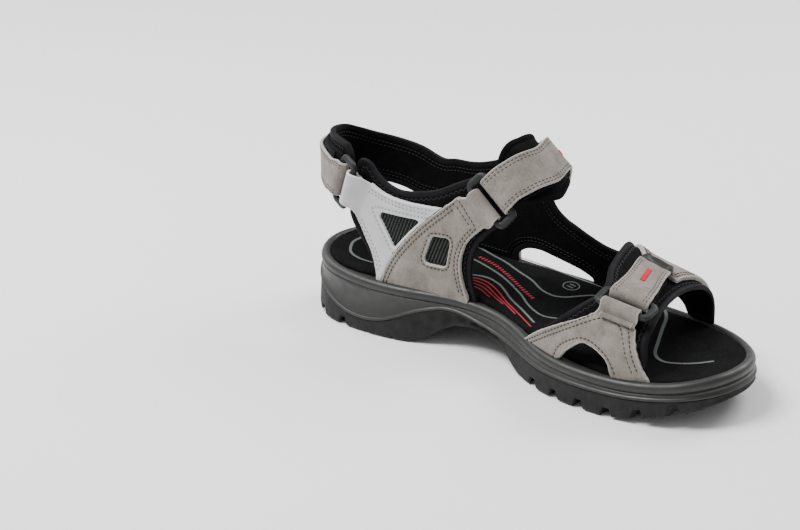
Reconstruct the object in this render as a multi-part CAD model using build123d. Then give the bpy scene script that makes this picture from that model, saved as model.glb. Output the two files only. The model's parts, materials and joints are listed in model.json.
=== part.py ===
from build123d import *
from math import cos, exp, pi, radians, sin, sqrt
import os

# Strappy sport sandal, left shoe, European size 38, in millimetres.
# +X points to the toes, -Y is the inner (medial) side, +Z is up.
# The origin is on the ground under the middle of the sole.

# ---------------------------------------------------------------- driving dimensions

# Plan outline of the sole at the ground, a closed smooth curve round from the heel.
SOLE_OUTLINE = [
    (-132.5, 0), (-124, 23), (-98, 37), (-60, 39), (-20, 39), (25, 46), (56, 48),
    (90, 42), (116, 25), (130, 5), (132.5, -10), (127, -28), (106, -43), (74, -48),
    (40, -44), (8, -31), (-22, -29), (-50, -38), (-85, -42), (-110, -37), (-128, -19),
]
RIM_Z = 34              # height of the upper loft section
RIM_SCALE = (0.985, 0.95)   # the sole narrows from the ground to the rim

# Plan outline of the footbed; it sits inside the upper where the upper meets the sole.
FOOTBED_OUTLINE = [
    (-127, 0), (-119, 19.5), (-96, 30), (-60, 31.2), (-20, 32), (10, 36.8), (28, 37.5),
    (56, 40.3), (86, 36), (110, 23.5), (125, 4), (127, -9.5), (122, -24.5), (104, -36.5),
    (74, -39.2), (40, -34.6), (24, -31), (6, -26), (-21, -21.8), (-50, -29.6), (-76, -31.2),
    (-97, -33), (-111, -29), (-123, -15),
]
FOOTBED_GAP = 0.2       # clearance all round the footbed

# Heights along the sole, as (x, z) stations.
# Below zero it is the flat ground face.
UNDERSIDE = [(-132.5, 9), (-122, 3), (-108, -0.5), (-82, -1), (-56, -0.5), (-44, 2), (-25, 12),
             (0, 10), (18, 1), (34, -0.8), (56, -1.2), (78, -0.5), (100, 3), (120, 8),
             (132.5, 13)]
FLARE_LINE = [(-132.5, 24), (-115, 17), (-95, 9), (-80, 7), (-65, 9), (-45, 17), (-30, 20),
              (-10, 16), (10, 13), (40, 11), (80, 11), (110, 13), (132.5, 16)]
RIM_LINE = [(-132.5, 33), (-110, 31), (-80, 29), (-40, 28), (0, 25), (40, 20), (80, 19),
            (110, 21), (132.5, 25)]
OUTSOLE_FLOOR = 5.0     # rubber between the ground and the foam core
OUTSOLE_WALL = 6.0
TREAD_DEPTH = 4.0
TREAD_GROOVES = [-112, -93, 34, 50, 66, 82, 98, 114]
TREAD_CHANNEL_WIDTH = 4.0

BOARD_THICK = 1.5
FOAM_THICK = 4.0
COVER_THICK = 1.2
COVER_DROP = 1.3        # the cover lies this far under the rim
SHANK_SIZE = (92, 18, 1.6)
SHANK_X = -32

# The form that the upper is shaped on: half widths at stations along the foot.
# x, medial at the footbed, medial above it, lateral at the footbed, lateral above it
FORM_WIDTHS = [
    (-132, 30, 29, 30, 29), (-100, 31, 29, 31, 29), (-60, 31.7, 29.5, 31.7, 31.5),
    (-20, 22.6, 25.5, 32.5, 32), (5, 27, 26, 36, 34), (30, 33, 31, 38, 37),
    (60, 40, 38.5, 41, 40.5), (85, 39, 38.5, 37, 37), (110, 31, 31, 25, 25),
]
FORM_CREST = [(-132, 400), (-88, 330), (-60, 220), (-40, 157), (-20, 118), (-3, 99.5),
              (12, 85.5), (30, 70), (48, 55.8), (61, 50.6), (80, 46.6), (95, 43), (110, 39)]
FORM_SHARPNESS = [(-132, 2.4), (0, 2.4), (70, 2.9), (110, 2.9)]
FORM_BASE = 20
FORM_FLARE = 14         # height over which the width changes from footbed to body
HEEL_CENTRE = -84
HEEL_RADIUS = 40

# Heights of each layer over the form: (inner face, outer face).
LINING = (0.2, 2.0)
MESH = (2.2, 2.8)
LEATHER = (3.0, 4.6)
COLLAR = (0.2, 2.8)
PAD = (0.2, 2.5)
# Heights in a strap, over the pad, lining or collar that it lies on.
UNDER_STRAP = (2.9, 4.5)
LOOP_PATCH = (4.8, 5.3)
HOOK_PATCH = (5.7, 6.2)
FLAP = (6.4, 8.0)
PULL_TAB = (6.2, 8.4)
MARK = (8.2, 8.8)
TUCK = 4.5              # how far the upper goes down beside the footbed

RING_BAR = 1.7          # radius of a strap ring's bars
RING_PITCH = 9.6        # near bar to far bar
RING_SPAN = 27          # between the centres of the side bars
RING_CORNER = 2.4
BAR_GAP = 0.35          # running clearance round a bar
KEEPER_THICK = 1.3      # leather of the tab where it wraps the near bar
KEEPER_WIDTH = 20
FOLD_WIDTH = 20.6       # strap where it passes through the ring

MEDIAL, LATERAL = -1, 1
REACH = 70              # half depth of the cutting prisms, past both sides

# Strap centre lines over the form. Over the arch: order, x, turn from the crest in
# degrees, and how far x and the turn change from the middle of the strap to its front edge.
INSTEP_PATH = [
    (0, -2.8, -15.4, 8.5, -1.8), (1, 2.6, -9, 8.2, -1.2), (2, 5, 0, 8, 0),
    (3, 1.5, 8.5, 8, 1), (4, -5, 16.5, 8.2, 1.9), (5, -11.5, 25, 8.5, 2.7),
    (6, -17.5, 33, 9, 4),
]
FOREFOOT_PATH = [
    (0, 78, -41.5, 9.6, -0.5), (1, 75.5, -28, 9.6, 0), (2, 72.8, -10, 9.4, 0),
    (3, 70, 10.5, 9.8, 0.5), (4, 69, 27.5, 10, 1),
]
# Round the heel: order, turn from straight back, z, and the changes to the lower edge.
HEEL_PATH = [
    (0, -73, 78.8, 6.6, -10), (1, -56, 80.2, 3.6, -11.2), (2, -31, 80.3, 1.2, -11.8),
    (3, -3, 79, 0, -12), (4, 25, 75, -1, -12), (5, 50, 70, -1.5, -11.8),
    (6, 72, 67, -2, -11.5),
]
BAR_LIFT = 6.7          # a ring's far bar over the form
HEEL_EXTRA = 0.5        # the heel strap lies on the thicker collar

# ---------------------------------------------------------------- the form

def along(stations, x, column=1):
    """Smooth value at x through stations, held level past both ends."""
    first, last = stations[0], stations[-1]
    if x <= first[0]:
        return first[column]
    if x >= last[0]:
        return last[column]
    count = len(stations)
    i = max(k for k in range(count - 1) if stations[k][0] <= x)

    def slope(k):
        a, b = stations[max(k - 1, 0)], stations[min(k + 1, count - 1)]
        return (b[column] - a[column]) / (b[0] - a[0])

    a, b = stations[i], stations[i + 1]
    run = b[0] - a[0]
    t = (x - a[0]) / run
    rise = (2 * t**3 - 3 * t**2 + 1) * a[column] + (3 * t**2 - 2 * t**3) * b[column]
    return rise + run * ((t**3 - 2 * t**2 + t) * slope(i) + (t**3 - t**2) * slope(i + 1))


def half_width(x, z, side):
    """Half width of the form at x and height z on one side; round behind the heel."""
    behind = min(max(HEEL_CENTRE - x, 0) / HEEL_RADIUS, 1)
    columns = (1, 2) if side < 0 else (3, 4)
    base, body = (along(FORM_WIDTHS, x, c) for c in columns)
    up = max(z - FORM_BASE, 0)
    width = body + (base - body) * exp(-((up / FORM_FLARE) ** 2))
    share = min(up / (along(FORM_CREST, x) - FORM_BASE), 1)
    power = along(FORM_SHARPNESS, x)
    return width * (1 - share**power) ** (1 / power) * sqrt(1 - behind**2)


def arch_point(x, turn):
    """Point of the form over x, turned from the crest: negative is medial."""
    side = -1 if turn < 0 else 1
    reach_y, reach_z = abs(sin(radians(turn))), cos(radians(turn))
    crest = along(FORM_CREST, x)
    low, high = 0.0, 450.0
    for _ in range(40):
        reach = (low + high) / 2
        z = FORM_BASE + reach * reach_z
        if z < crest and reach * reach_y < half_width(x, z, side):
            low = reach
        else:
            high = reach
    return Vector(x, side * low * reach_y, FORM_BASE + low * reach_z)


def side_point(side):
    """Maps x and height to the side wall of the form."""
    return lambda x, z: Vector(x, side * half_width(x, z, side), z)


def heel_point(turn, z):
    """Maps a turn round the heel (0 is straight back, + is lateral) and a height."""
    side = -1 if turn < 0 else 1
    angle = radians(min(abs(turn), 90))
    past = max(abs(turn) - 90, 0) * pi / 180 * HEEL_RADIUS
    x = HEEL_CENTRE - HEEL_RADIUS * cos(angle) + past
    return Vector(x, side * half_width(x, z, side), z)


def lifted(surface, u, v, lift):
    """Point of a surface pushed out along its normal, away from the foot."""
    step = 0.05
    across = surface(u + step, v) - surface(u - step, v)
    up = surface(u, v + step) - surface(u, v - step)
    point = surface(u, v)
    normal = across.cross(up).normalized()
    outward = Vector(0, point.Y, point.Z - FORM_BASE)
    if point.X < HEEL_CENTRE:
        outward = Vector(point.X - HEEL_CENTRE, point.Y, 0)
    if normal.dot(outward) < 0:
        normal = -normal
    return point + normal * lift


def sheet(surface, us, vs, layer, rise=None):
    """Closed solid of one layer over a surface; rise(u) lifts it further."""
    low, high = layer
    rise = rise or (lambda u: 0)
    rows = [[lifted(surface, u, v, low + rise(u)) for v in vs] for u in us]
    face = Face.make_surface_from_array_of_points(rows, tol=0.02, min_deg=3)
    u, v = us[len(us) // 2], vs[len(vs) // 2]
    outward = lifted(surface, u, v, 1) - surface(u, v)
    return Solid.thicken(face, high - low, normal_override=outward)


def steps(low, high, size):
    """Even steps from low to high, at most size apart."""
    count = max(3, round((high - low) / size))
    return [low + (high - low) * i / count for i in range(count + 1)]


# ---------------------------------------------------------------- drawing helpers

def outline(*runs):
    """Side view face inside runs of (x, z) joined end to end; long runs are smooth."""
    edges = []
    for run in runs:
        points = [(x, 0, z) for x, z in run]
        edges.append(Line(*points) if len(points) == 2 else Spline(*points))
    return make_face(edges)


def rounded_outline(corners, radius):
    """Side view polygon with every corner rounded."""
    face = make_face(Polyline(*[(x, 0, z) for x, z in corners], close=True))
    return fillet(face.vertices(), radius)


def through(face):
    """Prism of a side view face through the whole width."""
    return extrude(face, REACH, dir=(0, 1, 0), both=True)


def height_band(low, high):
    """Everything between two height lines along the sole."""
    ends = ([high[-1], low[-1]], [low[0], high[0]])
    return through(outline(high, ends[0], low[::-1], ends[1]))


def raised(stations, rise):
    """A height line moved up."""
    return [(x, z + rise) for x, z in stations]


def plan_face(points, scale=(1, 1), z=0.0):
    """Face inside a closed smooth curve seen from above."""
    curve = Spline(*[(x * scale[0], y * scale[1], z) for x, y in points], periodic=True)
    return make_face(curve)


def inset(points, distance):
    """Closed loop of points, clockwise from above, moved inward by a distance."""
    moved = []
    for i, (x, y) in enumerate(points):
        before, after = points[i - 1], points[(i + 1) % len(points)]
        run = Vector(after[0] - before[0], after[1] - before[1]).normalized()
        moved.append((x + run.Y * distance, y - run.X * distance))
    return moved


def on_path(surface, path):
    """Maps (order along a strap, -1 to 1 across it) to a surface."""
    def place(s, v):
        u = along(path, s, 1) + v * along(path, s, 3)
        w = along(path, s, 2) + v * along(path, s, 4)
        return surface(u, w)
    return place


INSTEP = on_path(arch_point, INSTEP_PATH)
FOREFOOT = on_path(arch_point, FOREFOOT_PATH)
HEEL = on_path(heel_point, HEEL_PATH)


def flap_rise(s):
    """A flap comes down from its bar onto the strap below."""
    rise = BAR_LIFT + RING_BAR + 2 * BAR_GAP - FLAP[0]
    return rise * max(0, 1 - s / 0.9) ** 2


# ---------------------------------------------------------------- sole unit

def sole_block():
    """The whole sole, ground to rim, as one block."""
    sections = [plan_face(SOLE_OUTLINE), plan_face(SOLE_OUTLINE, RIM_SCALE, RIM_Z)]
    return loft(sections) & height_band(UNDERSIDE, RIM_LINE)    # the loft starts at z = 0


def groove(x):
    """One tread groove across the sole, wider at the ground."""
    ground = max(along(UNDERSIDE, x), 0)
    mouth, root = 3.2, 1.7
    corners = [(x - mouth - 1, ground - 2), (x + mouth + 1, ground - 2),
               (x + root, ground + TREAD_DEPTH), (x - root, ground + TREAD_DEPTH)]
    return through(rounded_outline(corners, 0.8))


def outsole(block, shank_plate):
    """Rubber cup: lugged floor and side wall up to the wavy flare line.

    Also returns the cup without its tread, which the midsole is moulded on.
    """
    core_plan = plan_face(inset(SOLE_OUTLINE, OUTSOLE_WALL))
    core = extrude(core_plan, RIM_Z) & height_band(raised(UNDERSIDE, OUTSOLE_FLOOR),
                                                   raised(RIM_LINE, 5))
    lower = block & height_band(raised(UNDERSIDE, -3), FLARE_LINE)
    cup = lower - core
    lugged = cup - shank_plate
    for x in TREAD_GROOVES:
        lugged -= groove(x)
    channel = Box(96, TREAD_CHANNEL_WIDTH, 3.2, align=(Align.CENTER, Align.CENTER, Align.MIN))
    lugged -= Pos(72, -2, 0) * channel
    return cup, lugged


def shank():
    """Stiffening plate under the arch, let into the top of the midsole."""
    length, width, thick = SHANK_SIZE
    floor = footbed_line(-thick)
    plan = RectangleRounded(length, width, 8)
    bar = Pos(SHANK_X, -1, 0) * extrude(plan, 60)
    return bar & height_band(floor, raised(floor, thick))


def footbed_line(rise=0.0):
    """Height line of the recess floor that carries the footbed."""
    depth = COVER_DROP + COVER_THICK + FOAM_THICK + BOARD_THICK
    return raised(RIM_LINE, rise - depth)


def footbed_layer(low, thick):
    """One layer of the footbed stack, its underside low above the recess floor."""
    plan = extrude(plan_face(FOOTBED_OUTLINE), 60)
    return plan & height_band(footbed_line(low), footbed_line(low + thick))


def midsole(block, cup, shank_plate, upper):
    """Foam body above and inside the outsole, with the recess for the footbed."""
    recess = extrude(plan_face(inset(FOOTBED_OUTLINE, -FOOTBED_GAP)), 60)
    recess &= height_band(footbed_line(), raised(RIM_LINE, 6))
    body = block - cup - recess - shank_plate
    for panel in upper:
        body -= panel
    return body


# ---------------------------------------------------------------- side panels

def wall_layer(side, layer, x_range, z_range=(20, 91)):
    """One layer over a side wall of the form, to be cut to an outline."""
    return sheet(side_point(side), steps(*x_range, 6), steps(*z_range, 5), layer)


def arch_layer(layer, x_range, turn_range):
    """One layer over part of the arch of the form, to be cut to an outline."""
    return sheet(arch_point, steps(*x_range, 6), steps(*turn_range, 6), layer)


def bottom(x):
    """Height to which the upper is tucked in beside the footbed."""
    return along(RIM_LINE, x) - TUCK


QUARTER_REAR = [(-70, 26), (-67, 35), (-62, 44), (-53, 55), (-43, 65), (-32.5, 74), (-15.5, 87.5)]
QUARTER_FRONT = [(0.5, 74.5), (-3.5, 71), (-11.5, 65), (-18, 58.5), (-21, 52), (-22, 45),
                 (-21, 37), (-19, 30)]


def quarter_face(grow=0.0):
    """Side view of the grey quarter up to its ring tab; grow moves its rear edge back."""
    rear = [(x - grow, z + grow) for x, z in QUARTER_REAR]
    heel, toe = (rear[0][0], bottom(rear[0][0])), (-19, bottom(-19))
    return outline(rear, [rear[-1], QUARTER_FRONT[0]], QUARTER_FRONT,
                   [QUARTER_FRONT[-1], toe], [toe, heel], [heel, rear[0]])


def quarter_window():
    """Small window low in the quarter."""
    return rounded_outline([(-39, 58), (-27.5, 58.5), (-30.5, 43), (-44.5, 43)], 2.5)


def heel_panel_face(top, rear):
    """Side view of a light heel panel, cut back where the quarter meets it."""
    foot = (-70, bottom(-70))
    front = (-33, top[-1][1])
    return outline(top, [top[-1], front], [front, foot], [foot, rear[-1]], rear[::-1],
                   [rear[0], top[0]])


HEEL_PANEL_TOP = [(-86.5, 85.5), (-81.5, 81), (-74.5, 77.5), (-66, 74.5), (-53, 73), (-40, 73)]
HEEL_PANEL_REAR = [(-96, 66.2), (-91.5, 62.5), (-86.5, 57), (-82, 49.5), (-77, 41), (-73, 30)]


def heel_panel_window():
    """Three-cornered window between the heel panel and the quarter."""
    return rounded_outline([(-73.5, 65), (-43, 65), (-61, 45.5)], 2.5)


def quarter_medial():
    """Grey leather quarter whose top is the tab that holds the instep ring."""
    shape = through(quarter_face()) - through(quarter_window())
    return wall_layer(MEDIAL, LEATHER, (-74, 3)) & shape


def heel_panel_medial():
    """Light leather panel from the quarter back to the heel ring."""
    shape = through(heel_panel_face(HEEL_PANEL_TOP, HEEL_PANEL_REAR))
    shape -= through(heel_panel_window())
    shape -= through(quarter_face(grow=0.2))
    return wall_layer(MEDIAL, LEATHER, (-108, -28)) & shape


def mesh_panel(side):
    """Ribbed mesh behind both windows."""
    face = rounded_outline([(-79, 68), (-24, 66), (-26, 40), (-66, 40)], 4)
    return wall_layer(side, MESH, (-84, -20), (36, 72)) & through(face)


LINING_TOP = [(-88.5, 87), (-85, 90), (-79, 89), (-74, 84), (-67, 80), (-59, 78), (-49, 79),
              (-38, 81.5), (-28.5, 86), (-16.5, 91.5)]
LINING_FRONT = [(-0.5, 78), (3.5, 74), (-4, 66.5), (-11.5, 59), (-15, 52), (-16.5, 44), (-16, 36),
                (-14.5, 30)]
LINING_REAR = [(-90, 64), (-95.5, 59.5), (-91, 51), (-84, 43.5), (-79, 36), (-75.5, 29)]


def lining_medial():
    """Black padded lining of the inner side, a few millimetres larger than the leather."""
    heel_end = (-89.6, 78)
    toe_end, heel_foot = (-14.5, bottom(-14.5)), (-75.5, bottom(-75.5))
    face = outline(LINING_TOP, [LINING_TOP[-1], LINING_FRONT[0]], LINING_FRONT,
                   [LINING_FRONT[-1], toe_end], [toe_end, heel_foot],
                   [heel_foot, LINING_REAR[-1]], LINING_REAR[::-1],
                   [LINING_REAR[0], heel_end], [heel_end, LINING_TOP[0]])
    return wall_layer(MEDIAL, LINING, (-99, 3)) & through(face)


# The outer side is one continuous band from the heel collar to the forefoot.
LATERAL_TOP = [(-84, 75), (-75, 76), (-65, 76.3), (-56, 78), (-44, 82),
               (-33, 86), (-23.5, 90)]
LATERAL_FRONT = [(-4.5, 75.5), (-7, 73), (-8.8, 70), (-9, 66.5), (-7, 62.5), (-2, 58), (5, 54.5),
                 (13, 50.5), (22, 47), (33, 45)]
LENS_TOP = [(12, 27), (6, 30), (-1, 32.3), (-11, 35), (-19, 36.6), (-27, 36), (-32, 33.5),
            (-34.5, 31)]
LATERAL_REAR = [(-84, 50), (-82, 45), (-78, 36), (-75, 28)]


def lateral_face(grow):
    """Side view of the outer band; grow widens the open edges for the lining."""
    top = [(x, z - 3 + grow) for x, z in LATERAL_TOP]
    front = [(x - 3 + grow, z - 3 + grow) for x, z in LATERAL_FRONT]
    arm = (front[-1][0], bottom(front[-1][0]))
    lens = [(x, z + 3 - grow) for x, z in LENS_TOP]
    lens_foot, lens_heel = (lens[0][0], bottom(lens[0][0])), (lens[-1][0], bottom(lens[-1][0]))
    rear = [(x + 3 - grow, z) for x, z in LATERAL_REAR]
    rear_foot = (rear[-1][0], bottom(rear[-1][0]))
    return outline(top, [top[-1], front[0]], front, [front[-1], arm], [arm, lens_foot],
                   [lens_foot, lens[0]], lens, [lens[-1], lens_heel], [lens_heel, rear_foot],
                   [rear_foot, rear[-1]], rear[::-1], [rear[0], top[0]])


def lining_lateral():
    """Black lining of the outer side, from the collar to the forefoot."""
    return arch_layer(LINING, (-88, 40), (14, 96)) & through(lateral_face(3))


def heel_seam():
    """Side view of everything behind the seam between heel panel and quarter."""
    seam = [(-70, 0), (-70, 26), (-62, 44), (-43, 65), (-20, 100)]
    return make_face(Polyline(*[(x, 0, z) for x, z in seam], (-120, 0, 100), (-120, 0, 0),
                              close=True))


def quarter_lateral():
    """Grey leather of the outer side with the arm forward to the forefoot."""
    shape = through(lateral_face(0)) - through(heel_seam()) - through(quarter_window())
    return arch_layer(LEATHER, (-76, 40), (14, 96)) & shape


def heel_panel_lateral():
    """Light leather panel of the outer side, where the heel strap is sewn on."""
    shape = through(lateral_face(0)) & through(offset(heel_seam(), -0.25))
    shape -= through(heel_panel_window())
    return arch_layer(LEATHER, (-88, -28), (14, 96)) & shape


# ---------------------------------------------------------------- heel

COLLAR_TOP = [(-81, 94), (-74, 95.5), (-60, 96), (-30, 95), (0, 92.5), (18, 88.5), (34, 85),
              (53, 82), (71, 79), (87, 75.5)]
COLLAR_BOTTOM = [(-81, 65), (0, 64), (34, 59.5), (53, 56.5), (71, 52), (87, 49)]


def heel_collar():
    """Padded band round the back of the heel, open below."""
    def place(turn, v):
        low, high = along(COLLAR_BOTTOM, turn), along(COLLAR_TOP, turn)
        return heel_point(turn, low + (high - low) * v)
    return sheet(place, steps(-80.5, 86.5, 6), steps(0.01, 0.99, 0.2), COLLAR)


# ---------------------------------------------------------------- forefoot

VAMP_REAR = [(-89, 29), (-80, 32), (-66, 44), (-54, 54), (-42, 59.5), (-28, 58), (-10, 52),
             (5, 48.5), (20, 45), (35, 40.5), (52, 36), (70, 35.5), (86, 36)]
VAMP_FRONT = [(-89, 97), (-77, 97), (-65, 95), (-51, 93.5), (-29, 90), (0, 87), (22, 86),
              (45, 86), (65, 85), (86, 84)]


def arch_band(rear, front, turns, layer):
    """Sheet over the arch between two lines of x against turn."""
    def place(turn, v):
        low, high = along(rear, turn), along(front, turn)
        return arch_point(low + (high - low) * v, turn)
    return sheet(place, steps(*turns, 6), steps(0, 1, 0.125), layer)


def vamp_cutout(side):
    """Arched gap low in the vamp, so that it meets the sole on two legs."""
    first, last, top = (50, 82, 30.5) if side < 0 else (44, 68, 29.5)
    middle = (first + last) / 2
    return through(outline([(first, 0), (last, 0)], [(last, 0), (last, 18)],
                           [(last, 18), (last - 4, top - 4), (middle, top),
                            (first + 7, top - 5), (first, 18)],
                           [(first, 18), (first, 0)]))


def vamp_lining():
    """Black band over the forefoot, from the footbed on one side to the other."""
    band = arch_band(VAMP_REAR, VAMP_FRONT, (-93, 91), LINING)
    side_cuts = [vamp_cutout(side) & half_space(side) for side in (MEDIAL, LATERAL)]
    floor = through(outline([(20, 0), (110, 0)], [(110, 0), (110, bottom(110))],
                            [(110, bottom(110)), (80, bottom(80)), (40, bottom(40)),
                             (20, bottom(20))],
                            [(20, bottom(20)), (20, 0)]))
    return band - side_cuts[0] - side_cuts[1] - floor


def half_space(side):
    """Everything on one side of the sandal."""
    return Pos(0, side * 50, 50) * Box(400, 100, 300)


def vamp_medial():
    """Grey leather of the inner forefoot, up to the tab that holds the ring."""
    rear = [(24, 19.5), (33, 26), (49, 34.5), (60, 39), (66, 42), (67, 44.5)]
    front = [(87, 41.5), (88, 38.5), (90.5, 34), (95, 26), (99, 19.5)]
    face = outline(rear, [rear[-1], (67, 46.6)], [(67, 46.6), (86.5, 44)],
                   [(86.5, 44), front[0]], front, [front[-1], (99, bottom(99))],
                   [(99, bottom(99)), (24, bottom(24))], [(24, bottom(24)), rear[0]])
    shape = through(face) - vamp_cutout(MEDIAL)
    return arch_layer(LEATHER, (18, 103), (-99, -40)) & shape


def vamp_lateral():
    """Grey leather of the outer forefoot, up to where the strap is sewn on."""
    rear = [(15, 61), (25, 57), (36, 48.5), (46, 39), (56, 32), (92, 31.3)]
    front = [(15, 80), (35, 79.5), (60, 80), (92, 79)]
    shape = arch_band(rear, front, (15, 91), LEATHER)
    floor = Pos(60, 0, 0) * Box(120, 200, 2 * bottom(60))
    return shape - vamp_cutout(LATERAL) - floor


# ---------------------------------------------------------------- straps and rings

def far_bar_frame(surface, extra):
    """Plane at a ring's far bar: x along the strap, y away from the foot, z the bar."""
    centre = lifted(surface, 0, 0, BAR_LIFT + extra)
    bar = (surface(0, 1) - surface(0, -1)).normalized()
    run = surface(0.05, 0) - surface(-0.05, 0)
    run = (run - bar * run.dot(bar)).normalized()
    if bar.cross(run).dot(centre - surface(0, 0)) < 0:
        bar = -bar
    return Plane(origin=centre, x_dir=run, z_dir=bar)


def ring(frame):
    """Moulded loop: the leather tab holds its near bar, the strap runs round the far one."""
    loop = Plane(origin=frame.origin - frame.x_dir * RING_PITCH / 2, x_dir=frame.z_dir,
                 z_dir=frame.y_dir)
    path = loop * RectangleRounded(RING_SPAN, RING_PITCH, RING_CORNER).wire()
    section = Plane(origin=path @ 0, z_dir=path % 0) * Circle(RING_BAR)
    return sweep(section, path=path)


def keeper(frame):
    """Tube of leather folded round the near bar at the end of a tab."""
    near = Plane(origin=frame.origin - frame.x_dir * RING_PITCH, x_dir=frame.x_dir,
                 z_dir=frame.z_dir)
    inner = RING_BAR + BAR_GAP
    section = Circle(inner + KEEPER_THICK) - Circle(inner)
    return extrude(near * section, KEEPER_WIDTH / 2, both=True)


def fold(frame):
    """Half turn of the strap round the far bar."""
    inner = RING_BAR + BAR_GAP
    outer = inner + FLAP[1] - FLAP[0]
    end = 225
    tip = (cos(radians(end)), sin(radians(end)))
    edges = [CenterArc((0, 0), inner, 90, end - 90), CenterArc((0, 0), outer, 90, end - 90),
             Line((inner * tip[0], inner * tip[1]), (outer * tip[0], outer * tip[1])),
             Line((0, inner), (1.2, inner)), Line((1.2, inner), (1.2, outer)),
             Line((1.2, outer), (0, outer))]
    return extrude(frame * make_face(edges), FOLD_WIDTH / 2, both=True)


def strap_layer(surface, extra, layer, run, half=0.96, rise=None):
    """One layer of a strap between two places along its path."""
    low, high = layer
    return sheet(surface, steps(*run, 0.25), steps(-half, half, 0.5), (low + extra, high + extra),
                 rise)


def strap_set(name, surface, extra, start, root, flap_end, tab_end, patch, mark):
    """Every piece of one hook-and-loop strap, by node name."""
    frame = far_bar_frame(surface, extra)
    flap = strap_layer(surface, extra, FLAP, (0, flap_end), rise=flap_rise) + fold(frame)
    return {
        f"{name}_strap_under": strap_layer(surface, extra, UNDER_STRAP, (start, root)),
        f"{name}_loop_patch": strap_layer(surface, extra, LOOP_PATCH, patch, half=0.8),
        f"{name}_ring": ring(frame),
        f"{name}_flap": flap,
        f"{name}_hook_patch": strap_layer(surface, extra, HOOK_PATCH,
                                          (patch[0] + 0.4, flap_end - 0.1), half=0.75),
        f"{name}_pull_tab": strap_layer(surface, extra, PULL_TAB, (flap_end + 0.02, tab_end),
                                        half=1.0),
        f"{name}_mark": strap_layer(surface, extra, MARK, mark, half=0.15),
    }


def instep_pad():
    """Tongue-like pad under the instep strap, wider than the strap at the crest."""
    spread = [(0.3, 0.9), (1, 1.35), (2, 1.6), (3, 1.55), (4, 1.42), (4.45, 1.25), (4.75, 0.95)]

    def place(s, v):
        return INSTEP(s, v * along(spread, s))
    return sheet(place, steps(0.3, 4.75, 0.25), steps(-1, 1, 0.25), PAD)


# ---------------------------------------------------------------- the whole sandal

STRAPS = {
    # surface, extra height, strap start and root, flap end, tab end, loop patch, mark
    "heel": (HEEL, HEEL_EXTRA, 0.4, 6, 4.9, 5.6, (0.8, 5.6), (2.6, 3.8)),
    "instep": (INSTEP, 0, 0.5, 5.05, 4.85, 5.5, (0.8, 4.8), (3.2, 4.4)),
    "forefoot": (FOREFOOT, 0, 0.4, 3.1, 3.35, 3.95, (0.8, 3.85), (1.45, 2.65)),
}


def build():
    """Every node of the sandal by name."""
    nodes = {
        "quarter_medial": quarter_medial(),
        "quarter_lateral": quarter_lateral(),
        "heel_panel_medial": heel_panel_medial(),
        "heel_panel_lateral": heel_panel_lateral(),
        "mesh_medial": mesh_panel(MEDIAL),
        "mesh_lateral": mesh_panel(LATERAL),
        "lining_medial": lining_medial(),
        "lining_lateral": lining_lateral(),
        "heel_collar": heel_collar(),
        "instep_pad": instep_pad(),
        "vamp_lining": vamp_lining(),
        "vamp_medial": vamp_medial(),
        "vamp_lateral": vamp_lateral(),
    }
    upper = list(nodes.values())
    tabs = {"heel": "heel_panel_medial", "instep": "quarter_medial", "forefoot": "vamp_medial"}
    for name, settings in STRAPS.items():
        nodes.update(strap_set(name, *settings))
        nodes[tabs[name]] += keeper(far_bar_frame(settings[0], settings[1]))

    block = sole_block()
    plate = shank()
    cup, lugged = outsole(block, plate)
    nodes["outsole"] = lugged
    nodes["shank"] = plate
    nodes["midsole"] = midsole(block, cup, plate, upper)
    nodes["insole_board"] = footbed_layer(0, BOARD_THICK)
    nodes["footbed"] = footbed_layer(BOARD_THICK, FOAM_THICK)
    nodes["footbed_cover"] = footbed_layer(BOARD_THICK + FOAM_THICK, COVER_THICK)
    return nodes


os.makedirs("parts", exist_ok=True)
for node, shape in build().items():
    solid = shape if isinstance(shape, Solid) else Compound(shape.solids())
    export_step(solid, f"parts/{node}.step")

for name, (surface, extra, *_) in STRAPS.items():
    frame = far_bar_frame(surface, extra)
    near = frame.origin - frame.x_dir * RING_PITCH
    print(name, "far bar", frame.origin, "near bar", near, "along the bar", frame.z_dir)
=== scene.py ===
import json
import math
import random

import bmesh
import bpy
import numpy as np
from mathutils import Matrix, Vector
from mathutils.geometry import delaunay_2d_cdt

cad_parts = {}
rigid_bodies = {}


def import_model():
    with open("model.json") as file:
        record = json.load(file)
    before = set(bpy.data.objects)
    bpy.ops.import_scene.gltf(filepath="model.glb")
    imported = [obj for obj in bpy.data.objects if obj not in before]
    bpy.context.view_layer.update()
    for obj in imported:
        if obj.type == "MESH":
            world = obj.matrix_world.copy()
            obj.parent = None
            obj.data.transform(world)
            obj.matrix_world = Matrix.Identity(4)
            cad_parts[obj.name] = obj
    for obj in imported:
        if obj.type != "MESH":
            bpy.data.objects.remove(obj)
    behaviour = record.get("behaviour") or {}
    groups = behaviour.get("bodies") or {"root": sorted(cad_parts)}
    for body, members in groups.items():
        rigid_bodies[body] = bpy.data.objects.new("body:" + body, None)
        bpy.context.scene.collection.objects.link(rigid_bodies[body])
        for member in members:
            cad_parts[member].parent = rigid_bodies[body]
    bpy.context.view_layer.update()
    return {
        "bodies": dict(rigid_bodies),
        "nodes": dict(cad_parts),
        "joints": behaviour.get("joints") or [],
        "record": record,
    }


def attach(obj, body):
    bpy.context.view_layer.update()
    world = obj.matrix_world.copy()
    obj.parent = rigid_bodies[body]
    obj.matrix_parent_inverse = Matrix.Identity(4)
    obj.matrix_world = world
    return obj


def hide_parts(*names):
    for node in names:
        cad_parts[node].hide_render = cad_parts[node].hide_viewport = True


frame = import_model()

random.seed(38)

# The sandal is drawn in millimetres, on the same form as the CAD model, and every mesh is
# scaled to metres as it is made. +X is the toe, -Y the inner (medial) side.
MM = 0.001
MEDIAL, LATERAL = -1, 1


# ------------------------------------------------------------------ camera and studio

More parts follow.
